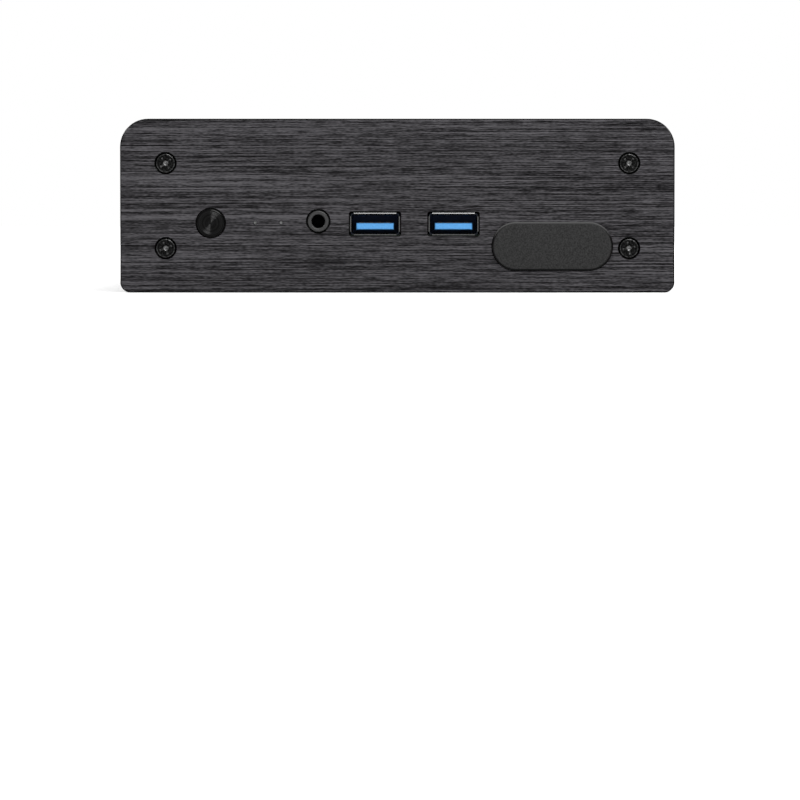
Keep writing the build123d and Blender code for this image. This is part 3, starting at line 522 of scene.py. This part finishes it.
# %% [markdown]
# The panel screws are black oxide steel, blotched by the bath they were dipped in. A
# driver bit rubs the oxide off the floor of the recess, and handling wears the rim of
# the head, which is why a black screw shows a bright spark near its middle and a thin
# light ring. Masks from the depth below the head and from the radius bare the metal in
# those places, and the speckle breaks them up. All their spans are read from the head's
# face and from the screw's axis.

# %% Finish: panel screws
OXIDE = (grey(0.0008), grey(0.022))
RUBBED_STEEL = grey(0.14)
OXIDE_ROUGH = (0.3, 0.36)
OXIDE_RELIEF = 0.02 * MM
BLOTCH_CURVE = 2.0
PATCH_SPAN = (0.25, 0.65)
PATCH_LOW = 0.1
RECESS_SPAN = (-0.2 * MM, -0.3 * MM)
SHANK_SPAN = (-1.3 * MM, -1.2 * MM)
CORE_SPAN = (0.9 * MM, 0.6 * MM)
WING_END_SPAN = (1.3 * MM, 1.45 * MM)
RIM_SPAN = (2.2 * MM, 2.3 * MM)
RIM_WEAR = 0.3
WING_WEAR = 0.2
END_WEAR = 0.7


def oxide_screw():
    """Blotched black oxide steel, rubbed bright in the recess and at its rim."""
    material, tree, shader = new_finish("black_screws", Metallic=1.0)
    place = add_node(tree, "ShaderNodeTexCoord").outputs["Object"]
    axes = add_node(tree, "ShaderNodeSeparateXYZ", {0: place}).outputs
    above_shank = remap(tree, axes[2], *SHANK_SPAN, 0.0, 1.0)
    below_head = remap(tree, axes[2], *RECESS_SPAN, 0.0, 1.0)
    radius = distance_from_axis(tree)
    floor = place_group(tree, facing_mask, {"Axis": (0.0, 0.0, 1.0), "Edge": 0.9})["Mask"]
    speckle = place_group(tree, fine_speckle, {"Grain Size": 0.5 * MM})
    patchy = remap(tree, speckle["Shade"], *PATCH_SPAN, PATCH_LOW, 1.0)
    wing_ends = remap(tree, radius, *WING_END_SPAN, WING_WEAR, END_WEAR)
    core = calc(tree, "MAXIMUM", remap(tree, radius, *CORE_SPAN, 0.0, 1.0), wing_ends)
    inside = calc(tree, "MULTIPLY", below_head, above_shank)
    recess = calc(tree, "MULTIPLY", inside, calc(tree, "MULTIPLY", floor, core))
    rim = remap(tree, radius, *RIM_SPAN, 0.0, RIM_WEAR)
    rubbed = calc(tree, "MULTIPLY", calc(tree, "MAXIMUM", recess, rim), patchy)
    blotches = calc(tree, "POWER", speckle["Shade"], BLOTCH_CURVE)
    oxide = blend_colours(tree, blotches, *OXIDE)
    tree.links.new(blend_colours(tree, rubbed, oxide, RUBBED_STEEL), shader.inputs["Base Color"])
    tree.links.new(remap(tree, rubbed, 0.0, 1.0, *OXIDE_ROUGH), shader.inputs["Roughness"])
    add_bump(tree, shader, speckle["Height"], OXIDE_RELIEF, SPECKLE_STRENGTH)
    return material


print("finish:", oxide_screw.__doc__)

# %% [markdown]
# Sheet metal shows its mill grain on the flat and a cut edge all round. The black cover,
# the black bracket and the milled heat block share one recipe made of the brushed grain
# and the facing mask, with their own colours.

# %% Finish: sheet metal
SHEET_STROKES = {"Stroke Length": 30 * MM, "Stroke Width": 0.8 * MM}
SHEET_RELIEF = 0.01 * MM
SHEET_STRENGTH = 0.3


def sheet_metal(name, low, high, edge, rough):
    """A flat sheet with faint grain and plainer cut edges."""
    material, tree, shader = new_finish(name, Metallic=1.0)
    vector = turned_axes(tree, (1, 0, 2))
    grain = place_group(tree, brushed_grain, {"Vector": vector} | SHEET_STROKES)
    flat = place_group(tree, facing_mask, {"Axis": (0.0, 0.0, 1.0), "Edge": 0.9})["Mask"]
    colour = blend_colours(tree, flat, edge, blend_colours(tree, grain["Shade"], low, high))
    tree.links.new(colour, shader.inputs["Base Color"])
    spread = (rough + ROUGH_SPREAD, rough - ROUGH_SPREAD)
    tree.links.new(remap(tree, grain["Shade"], 0.0, 1.0, *spread), shader.inputs["Roughness"])
    add_bump(tree, shader, grain["Height"], SHEET_RELIEF, SHEET_STRENGTH)
    return material


print("finish:", sheet_metal.__doc__)

# %% [markdown]
# The light pipes and diodes are clear mouldings. Clear plastic needs transmission and a
# touch of roughness, so that light spreads inside it and the tip shows as a pale dot.

# %% Finish: clear mouldings
CLEAR_TINT = (grey(0.4), grey(0.55))
CLEAR_FROST = (0.18, 0.3)


def clear_moulding():
    """Clear moulded plastic, a little frosted."""
    material, tree, shader = new_finish("clear_lens", Transmission_Weight=0.6, IOR=1.49)
    speckle = place_group(tree, fine_speckle, {"Grain Size": 0.2 * MM})
    colour = blend_colours(tree, speckle["Shade"], *CLEAR_TINT)
    tree.links.new(colour, shader.inputs["Base Color"])
    frost = remap(tree, speckle["Shade"], 0.0, 1.0, *CLEAR_FROST)
    tree.links.new(frost, shader.inputs["Roughness"])
    return material


print("finish:", clear_moulding.__doc__)

# %% [markdown]
# The tongue of a receptacle is bright blue on its front face. Its chamfers, and the same
# moulding further back in the dark of the shell, get a darker blue as painted shade. The
# shell is folded from plated sheet, and its flared lips keep the plating's colour while all
# behind them is painted dark as painted shade. Both recipes blend a lit and a painted-shade
# colour by the depth group, each from a depth of its own.

# %% Finishes: blue moulding and plated shell
TIP_BLUE = ((0.095, 0.32, 0.67, 1.0), (0.12, 0.39, 0.79, 1.0))
# Blue painted as shade on the tongue behind its tip
PAINTED_SHADE_BLUE = (0.003, 0.012, 0.045, 1.0)
TIP_DEPTH = 1.07 * MM
TIP_FADE = 0.32 * MM
LIP_SHINE = (grey(0.06), grey(0.1))
SHELL_SHADE = (0.0012, 0.0032, 0.009, 1.0)
LIP_DEPTH = 0.45 * MM
LIP_FADE = 0.35 * MM
LIT_SPREAD = 0.1
MOULDING_ROUGH = 0.35
PLATING_ROUGH = 0.2


def lit_in_front(name, lit, shaded, start, reach, rough, **constants):
    """A speckled surface that goes from its lit colours to a shaded one with depth."""
    material, tree, shader = new_finish(name, **constants)
    depth_inputs = {"Start": plate_low.y + start, "Reach": reach}
    depth = place_group(tree, depth_fade, depth_inputs)["Depth"]
    speckle = place_group(tree, fine_speckle, {"Grain Size": 0.5 * MM})
    front = blend_colours(tree, speckle["Shade"], *lit)
    tree.links.new(blend_colours(tree, depth, front, shaded), shader.inputs["Base Color"])
    roughness = remap(tree, speckle["Shade"], 0.0, 1.0, rough, rough + LIT_SPREAD)
    tree.links.new(roughness, shader.inputs["Roughness"])
    return material


def blue_moulding():
    """Blue plastic, bright at the tongue's tip, and painted deep blue behind it as painted shade."""
    values = (TIP_BLUE, PAINTED_SHADE_BLUE, TIP_DEPTH, TIP_FADE, MOULDING_ROUGH)
    return lit_in_front("blue_insulator", *values, Specular_IOR_Level=0.08)


def plated_shell():
    """Bright nickel plate on the lips, lost in the dark inside the shell."""
    values = (LIP_SHINE, SHELL_SHADE, LIP_DEPTH, LIP_FADE, PLATING_ROUGH)
    return lit_in_front("plated_shell", *values, Metallic=1.0)


print("finish:", blue_moulding.__doc__)
print("finish:", plated_shell.__doc__)

# %% [markdown]
# Now the finishes meet the solids. The record of the frame says which finish slot each
# node belongs to, so a short table from slot to material dresses every one of them.

# %% Dress the solids
finishes = {
    "black_extrusion": finned_body(),
    "black_plate": brushed_plate(),
    "black_sheet": sheet_metal("black_sheet", grey(0.02), grey(0.05), edge=grey(0.06), rough=0.42),
    "black_screws": oxide_screw(),
    "turned_black": turned_metal(
        "turned_black", grey(0.0035), grey(0.0125), rough=0.13, pitch=0.4 * MM, depth=0.001 * MM
    ),
    "black_plastic": speckled(
        "black_plastic", *PLASTIC_BLACK, rough=0.6, grain=0.3 * MM, depth=0.01 * MM, Specular_IOR_Level=0.1
    ),
    "grey_nose": speckled(
        "grey_nose", *PLASTIC_GREY, rough=0.35, grain=0.3 * MM, depth=0.005 * MM, Specular_IOR_Level=0.4
    ),
    "circuit_board": speckled(
        "circuit_board", *SOLDER_MASK, rough=0.35, grain=1.2 * MM, depth=0.02 * MM
    ),
    "gold_contacts": speckled(
        "gold_contacts", *GOLD_IN_SHADE, rough=0.28, grain=0.3 * MM, depth=0.004 * MM, Metallic=1.0
    ),
    "brass_posts": speckled(
        "brass_posts", *GOLD_IN_SHADE, rough=0.34, grain=0.5 * MM, depth=0.01 * MM, Metallic=1.0
    ),
    "zinc_screws": speckled(
        "zinc_screws", *ZINC, rough=0.34, grain=0.4 * MM, depth=0.01 * MM, Metallic=1.0
    ),
    "black_milled": sheet_metal(
        "black_milled", grey(0.003), grey(0.008), edge=grey(0.004), rough=0.5
    ),
    "thermal_pad": speckled(
        "thermal_pad", *PAD_BLUE, rough=0.75, grain=0.5 * MM, depth=0.03 * MM
    ),
    "black_steel": sheet_metal("black_steel", grey(0.004), grey(0.01), edge=grey(0.006), rough=0.5),
    "black_rubber": moulded_rubber(),
    "clear_lens": clear_moulding(),
    "plated_shell": plated_shell(),
    "blue_insulator": blue_moulding(),
}
slot_of = {part["node"]: part["material_slot"] for part in frame["record"]["subparts"]}
for name, node in nodes.items():
    for slot in node.material_slots:
        slot.material = finishes[slot_of[name]]
print("dressed:", len(nodes), "nodes with", len(finishes), "finishes")

# %% [markdown]
# Turned pieces are modelled the way a lathe makes them: a profile of radii and heights
# is spun round an axis. The mesh is drawn in millimetres about its own Z axis and
# scaled once at the end. Edges sharper than a set angle stay crisp, the rest is smooth.

# %% Helper for turned meshes
def lathe_mesh(name, profile, steps):
    """A closed mesh spun from (radius, height) points in millimetres, ends on the axis."""
    vertices = []
    rows = []
    for radius, height in profile:
        count = steps if radius > 0 else 1
        start = len(vertices)
        angles = [math.tau * step / steps for step in range(count)]
        vertices += [(radius * math.cos(a), radius * math.sin(a), height) for a in angles]
        rows.append([start + step % count for step in range(steps)])
    faces = []
    for upper, lower in zip(rows, rows[1:]):
        for step in range(steps):
            after = (step + 1) % steps
            corners = (upper[step], lower[step], lower[after], upper[after])
            faces.append(tuple(dict.fromkeys(corners)))
    mesh = bpy.data.meshes.new(name)
    mesh.from_pydata(vertices, [], faces)
    return mesh


def finish_mesh(mesh, sharp_degrees):
    """Scales a mesh from millimetres to metres and smooths all but its sharp edges."""
    mesh.transform(Matrix.Scale(MM, 4))
    mesh.shade_smooth()
    mesh.set_sharp_from_angle(angle=math.radians(sharp_degrees))
    mesh.update()


def add_piece(name, mesh, place, turn, body, slot, *replaced):
    """A new piece in its place on its body, instead of any solids that it stands for."""
    piece = bpy.data.objects.new(name, mesh)
    bpy.context.scene.collection.objects.link(piece)
    piece.location = place
    piece.rotation_euler = (math.radians(turn), 0, 0)
    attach(piece, body)
    if replaced:
        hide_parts(*replaced)
    return piece


# Degrees about X that turn a piece's own Z axis out of each panel
FACING_FRONT = 90
FACING_REAR = -90
print("lathe ready")

# %% [markdown]
# The power button is a turned cap with a retaining flange behind the panel. Its face
# carries real rings, cut 0.18 mm apart. Their flanks catch the soft box above the
# camera and throw it back in two wedges, which is how a turned face tells itself apart
# from a painted one. A bump map alone would lose them in a close view.

# %% Piece: power button cap
CAP_RADIUS = 3.75
CAP_EDGE = 0.35
CAP_EDGE_MIDDLE = 0.105
CAP_STEPS = 96
CAP_SHARP = 8
RING_PITCH = 0.18
RING_DEPTH = 0.031
RING_START = 0.3
FLANGE_T = 0.8
STEM_RADIUS = 1.6
SOCKET_DEPTH = 1.0
button_low, button_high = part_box("power_button")


def ring_profile():
    """The rings of the face, as points that go up and down towards the edge."""
    last = CAP_RADIUS - CAP_EDGE - RING_PITCH
    count = int((last - RING_START) / RING_PITCH)
    points = [(0, -RING_DEPTH)]
    for ring in range(count):
        start = RING_START + ring * RING_PITCH
        points += [(start, 0), (start + RING_PITCH / 2, -RING_DEPTH)]
    return points


def power_button_mesh():
    """The cap from its face to the stem's socket in its back."""
    depth = (button_high.y - button_low.y) / MM
    flange_radius = (button_high.x - button_low.x) / 2 / MM
    profile = ring_profile() + [
        (CAP_RADIUS - CAP_EDGE, 0),
        (CAP_RADIUS - CAP_EDGE_MIDDLE, -CAP_EDGE_MIDDLE),
        (CAP_RADIUS, -CAP_EDGE),
        (CAP_RADIUS, FLANGE_T - depth),
        (flange_radius, FLANGE_T - depth),
        (flange_radius, -depth),
        (STEM_RADIUS, -depth),
        (STEM_RADIUS, SOCKET_DEPTH - depth),
        (0, SOCKET_DEPTH - depth),
    ]
    mesh = lathe_mesh("power_button_cap", profile, CAP_STEPS)
    finish_mesh(mesh, CAP_SHARP)
    mesh.materials.append(finishes["turned_black"])
    return mesh


button_x = (button_low.x + button_high.x) / 2
button_z = (button_low.z + button_high.z) / 2
add_piece(
    "power_button_cap",
    power_button_mesh(),
    (button_x, button_low.y, button_z),
    FACING_FRONT,
    "button",
    "turned_black",
    "power_button",
)
print("button rings:", len(ring_profile()) // 2)

# %% [markdown]
# A punch sinks a cross into the head of a screw. Shaped cutters taken away from a plain
# blank do the same here, and drawing the cross by hand as a grid would be no better,
# only longer. No real edge is knife sharp, so a small bevel on every edge gives the
# light something to run along.

# %% Helper for cutting meshes
CUTTER_TOP = 0.3
BEVEL_STEPS = 2
BEVEL_ANGLE = 30
CARVED_SHARP = 35


def wing_cutter(length, width, depth, end_depth, shrink):
    """A bar for two opposite wings, deepest in its middle and narrower at its floor."""
    half, side = length / 2, width / 2
    corners = []
    for x, floor in ((-half, -end_depth), (0, -depth), (half, -end_depth)):
        corners += [(x, -side, CUTTER_TOP), (x, side, CUTTER_TOP)]
        corners += [(x, side * shrink, floor), (x, -side * shrink, floor)]
    faces = [(0, 1, 2, 3), (11, 10, 9, 8)]
    for start in (0, 4):
        for edge in range(4):
            after = (edge + 1) % 4
            faces.append((start + edge, start + edge + 4, start + after + 4, start + after))
    mesh = bpy.data.meshes.new("cutter")
    mesh.from_pydata(corners, [], faces)
    return mesh


def carve(mesh, cutters, bevel):
    """A mesh with cutters taken away and its edges bevelled."""
    blank = bpy.data.objects.new("blank", mesh)
    tools = [bpy.data.objects.new("tool", cutter) for cutter in cutters]
    for item in (blank, *tools):
        bpy.context.scene.collection.objects.link(item)
    for tool in tools:
        cut = blank.modifiers.new("cut", "BOOLEAN")
        cut.operation = "DIFFERENCE"
        cut.solver = "EXACT"
        cut.object = tool
    soften = blank.modifiers.new("soften", "BEVEL")
    soften.width = bevel
    soften.segments = BEVEL_STEPS
    soften.limit_method = "ANGLE"
    soften.angle_limit = math.radians(BEVEL_ANGLE)
    bpy.context.view_layer.update()
    worked = blank.evaluated_get(bpy.context.evaluated_depsgraph_get())
    carved = bpy.data.meshes.new_from_object(worked)
    for item in (blank, *tools):
        bpy.data.objects.remove(item)
    return carved


print("cutters ready")

# %% [markdown]
# A panel screw's cross recess has a round core and four wings whose floors rise from
# the middle to the ends, so that a driver finds its way in. The countersunk head is
# spun on the lathe, and one round cutter and two crossed bars sink the recess. The four
# screws of a plate share one mesh, and each is turned as far as its thread let it.

# %% Pieces: panel screws
HEAD_SEAT_RADIUS = 2.75
HEAD_RADIUS = 2.5
HEAD_EASE = 0.28
HEAD_RIM = 0.1
HEAD_STEPS = 64
SHANK_RADIUS = 1.5
SHANK_TIP = 0.4
RECESS_LENGTH = 3.5
RECESS_WIDTH = 0.8
RECESS_DEPTH = 1.0
RECESS_END_DEPTH = 0.36
RECESS_SHRINK = 0.7
CORE_RADIUS = 0.85
CORE_FLOOR_RADIUS = 0.7
CORE_RIM_DEPTH = 0.85
CORE_TIP_DEPTH = 1.1
CORE_STEPS = 24
RECESS_BEVEL = 0.05
SCREW_TURNS = (20, 35, 12, 45)


def panel_screw_mesh(length):
    """A countersunk screw, head face at zero, pointing down its own axis."""
    cone_end = -HEAD_RIM - (HEAD_RADIUS - SHANK_RADIUS)
    profile = [
        (0, 0),
        (HEAD_RADIUS - HEAD_EASE, 0),
        (HEAD_RADIUS, -HEAD_RIM),
        (SHANK_RADIUS, cone_end),
        (SHANK_RADIUS, SHANK_TIP - length),
        (SHANK_RADIUS - SHANK_TIP, -length),
        (0, -length),
    ]
    head = lathe_mesh("panel_screw", profile, HEAD_STEPS)
    wing_sizes = (RECESS_LENGTH, RECESS_WIDTH, RECESS_DEPTH, RECESS_END_DEPTH, RECESS_SHRINK)
    wings = [wing_cutter(*wing_sizes) for _ in range(2)]
    wings[1].transform(Matrix.Rotation(math.pi / 2, 4, "Z"))
    core_profile = [
        (0, CUTTER_TOP),
        (CORE_RADIUS, CUTTER_TOP),
        (CORE_FLOOR_RADIUS, -CORE_RIM_DEPTH),
        (0, -CORE_TIP_DEPTH),
    ]
    core = lathe_mesh("core", core_profile, CORE_STEPS)
    mesh = carve(head, [core, *wings], RECESS_BEVEL)
    finish_mesh(mesh, CARVED_SHARP)
    mesh.materials.append(finishes["black_screws"])
    return mesh


def place_panel_screws(node, facing):
    """One screw at each corner of the box that the four solid screws fill."""
    low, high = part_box(node)
    radius = HEAD_SEAT_RADIUS * MM
    mesh = panel_screw_mesh((high.y - low.y) / MM)
    face_y = low.y if facing == FACING_FRONT else high.y
    columns = (low.x + radius, high.x - radius)
    rows = (low.z + radius, high.z - radius)
    corners = [(x, z) for x in columns for z in rows]
    for number, ((x, z), spin) in enumerate(zip(corners, SCREW_TURNS), 1):
        name = f"{node[:-1]}_{number}"
        screw = add_piece(name, mesh, (x, face_y, z), facing, "case", "black_screws", node)
        screw.rotation_mode = "ZYX"
        screw.rotation_euler.z = math.radians(spin)
        print(screw.name, [round(value / MM, 2) for value in screw.location])


place_panel_screws("front_panel_screws", FACING_FRONT)
place_panel_screws("rear_panel_screws", FACING_REAR)

# %% [markdown]
# A receptacle's shell is folded from one sheet, and its last fold is a flap that hangs
# down behind the insulator and keeps light and dust out. It is a little wider than the
# shell, so it also shades the gap between shell and panel. A bent section, drawn out
# sideways, is all it takes, and a small bevel keeps its edges from looking knife sharp.

# %% Pieces: back flaps of the receptacles
FLAP_T = 0.3
FLAP_BEND = 0.15
FLAP_BEND_STEP = 15
FLAP_BEVEL = 0.04
FLAP_MARGIN = 0.6
FLAP_RISE = 0.35
FLAP_FOOT = 0.2


def flap_section(drop):
    """The bent section of a flap, from the shell's top edge down and back up."""
    outer = FLAP_BEND + FLAP_T
    bend = [math.radians(angle) for angle in range(90, -1, -FLAP_BEND_STEP)]
    far = [(outer * math.cos(a), outer * math.sin(a) - outer) for a in bend]
    near = [(FLAP_BEND * math.cos(a), FLAP_BEND * math.sin(a) - outer) for a in bend]
    return far + [(outer, -drop), (FLAP_BEND, -drop)] + near[::-1]


def drawn_out(name, section, half):
    """A closed mesh of a section of (Y, Z) points, drawn out both ways along X."""
    count = len(section)
    vertices = [(side * half, y, z) for side in (-1, 1) for y, z in section]
    faces = [tuple(range(count)), tuple(range(2 * count - 1, count - 1, -1))]
    for start in range(count):
        after = (start + 1) % count
        faces.append((start, start + count, after + count, after))
    mesh = bpy.data.meshes.new(name)
    mesh.from_pydata(vertices, [], faces)
    return mesh


def place_back_flap(side):
    """The flap behind one insulator, from the box of that insulator."""
    low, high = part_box(f"usb_tongue_{side}")
    drop = (high.z - low.z) / MM + FLAP_RISE + FLAP_FOOT
    half = (high.x - low.x) / 2 / MM + FLAP_MARGIN
    mesh = carve(drawn_out("usb_back_flap", flap_section(drop), half), [], FLAP_BEVEL)
    finish_mesh(mesh, CARVED_SHARP)
    # The flap's own coordinates all lie behind the depth start, so the whole flap takes the shell's
    # painted-shade colour
    mesh.materials.append(finishes["plated_shell"])
    place = ((low.x + high.x) / 2, high.y, high.z + FLAP_RISE * MM)
    flap = add_piece(f"usb_back_flap_{side}", mesh, place, 0, "case", "plated_shell")
    print(flap.name, "drops", round(drop, 2), "mm")


for side in ("left", "right"):
    place_back_flap(side)

# %% [markdown]
# The studio is a white floor that runs into white air. Surfaces of the case should be
# lit at a plain level, so the white comes from what the camera, the metal and the clear
# plastic see, by the Light Path node, and not from brighter lamps. The floor keeps a
# plain diffuse part, so the case still casts its soft shadow.

# %% Floor and air
FLOOR_SIZE = 8.0
FLOOR_GREY = 0.8
AIR_LIGHT = 0.4
FLOOR_GLOW = 0.3
FLOOR_FADE = (0.5, 1.6)


def seen_directly(tree):
    """1 for rays of the camera, of reflections and of clear plastic."""
    path = add_node(tree, "ShaderNodeLightPath").outputs
    mirrored = calc(tree, "MAXIMUM", path["Is Glossy Ray"], path["Is Transmission Ray"])
    return calc(tree, "MAXIMUM", path["Is Camera Ray"], mirrored)


def studio_floor():
    """A wide white floor under the case."""
    half = FLOOR_SIZE / 2
    mesh = bpy.data.meshes.new("studio_floor")
    corners = [(-half, -half, 0), (half, -half, 0), (half, half, 0), (-half, half, 0)]
    mesh.from_pydata(corners, [], [(0, 1, 2, 3)])
    floor = bpy.data.objects.new("studio_floor", mesh)
    bpy.context.scene.collection.objects.link(floor)
    floor.location.z = case_low.z
    material, tree, shader = new_finish("studio_white", Roughness=1.0, Specular_IOR_Level=0.0)
    shader.inputs["Base Color"].default_value = grey(FLOOR_GREY)
    shader.inputs["Emission Color"].default_value = grey(1.0)
    place = add_node(tree, "ShaderNodeTexCoord").outputs["Object"]
    distance = add_node(tree, "ShaderNodeVectorMath", {0: place}, operation="LENGTH").outputs["Value"]
    glow = remap(tree, distance, *FLOOR_FADE, FLOOR_GLOW, 1.0)
    tree.links.new(calc(tree, "MULTIPLY", seen_directly(tree), glow), shader.inputs["Emission Strength"])
    mesh.materials.append(material)
    return floor


def studio_air():
    """Even light from all round, white wherever it is seen."""
    world = bpy.data.worlds.new("studio_air")
    bpy.context.scene.world = world
    world.use_nodes = True
    background = world.node_tree.nodes["Background"]
    background.inputs["Color"].default_value = grey(1.0)
    strength = remap(world.node_tree, seen_directly(world.node_tree), 0.0, 1.0, AIR_LIGHT, 1.0)
    world.node_tree.links.new(strength, background.inputs["Strength"])


studio_floor()
studio_air()
print("floor and air ready")

# %% [markdown]
# Four soft boxes stand round the case, one to each side and a good third of the way up.
# A large source at that height slides a broad sheen over brushed faces and rounded
# edges without a hard spot. Side and back boxes are the same kind, because a part in a
# library is turned and looked at from everywhere.

# %% Soft boxes
BOX_DISTANCE = 1.5
BOX_HEIGHT_ANGLE = 36
BOX_SIZE = (0.7, 0.5)
# Each box: degrees round the case from its front, and watts
SOFT_BOXES = {
    "front": (15, 12.0),
    "right": (90, 11.0),
    "rear": (180, 11.0),
    "left": (270, 11.0),
}


def soft_box(name, around, power):
    """A large lamp aimed at the case from one side."""
    lamp = bpy.data.lights.new(name, "AREA")
    lamp.shape = "RECTANGLE"
    lamp.size, lamp.size_y = BOX_SIZE
    lamp.energy = power
    holder = bpy.data.objects.new(name, lamp)
    bpy.context.scene.collection.objects.link(holder)
    rise = math.radians(BOX_HEIGHT_ANGLE)
    turn = math.radians(around)
    level = math.cos(rise)
    way = Vector((math.sin(turn) * level, -math.cos(turn) * level, math.sin(rise)))
    holder.location = case_middle + way * BOX_DISTANCE
    holder.rotation_euler = way.to_track_quat("Z", "Y").to_euler()
    holder.visible_camera = False


for side, (around, power) in SOFT_BOXES.items():
    soft_box(f"soft_box_{side}", around, power)
    print(side, "box:", around, "degrees,", power, "watts")

# %% [markdown]
# The camera looks straight at the front plate through a long lens, so that nothing
# converges. The picture is square and shows 216.6 mm across at the plate. The case
# stands high in it, which comes from aiming the camera a little below the case.

# %% Camera
VIEW_WIDTH = 216.57 * MM
CAMERA_DISTANCE = 1.3
AIM_SIDE = 0.71 * MM
AIM_BELOW = 52.6 * MM


def front_camera():
    """A long lens at the height of the plate's middle."""
    camera = bpy.data.cameras.new("front_camera")
    camera.sensor_width = 36.0
    camera.lens = camera.sensor_width * CAMERA_DISTANCE / VIEW_WIDTH
    holder = bpy.data.objects.new("front_camera", camera)
    bpy.context.scene.collection.objects.link(holder)
    height = (plate_low.z + plate_high.z) / 2
    holder.location = (AIM_SIDE, plate_low.y - CAMERA_DISTANCE, height)
    aim = Vector((AIM_SIDE, plate_low.y, height - AIM_BELOW))
    holder.rotation_euler = (aim - holder.location).to_track_quat("-Z", "Y").to_euler()
    bpy.context.scene.camera = holder
    return camera


print("lens in millimetres:", round(front_camera().lens, 1))

# %% [markdown]
# Standard view keeps each colour as it is written.

# %% View
bpy.context.scene.view_settings.view_transform = "Standard"

# %% [markdown]
# Every piece has its place, its finish and the body that it rides on.
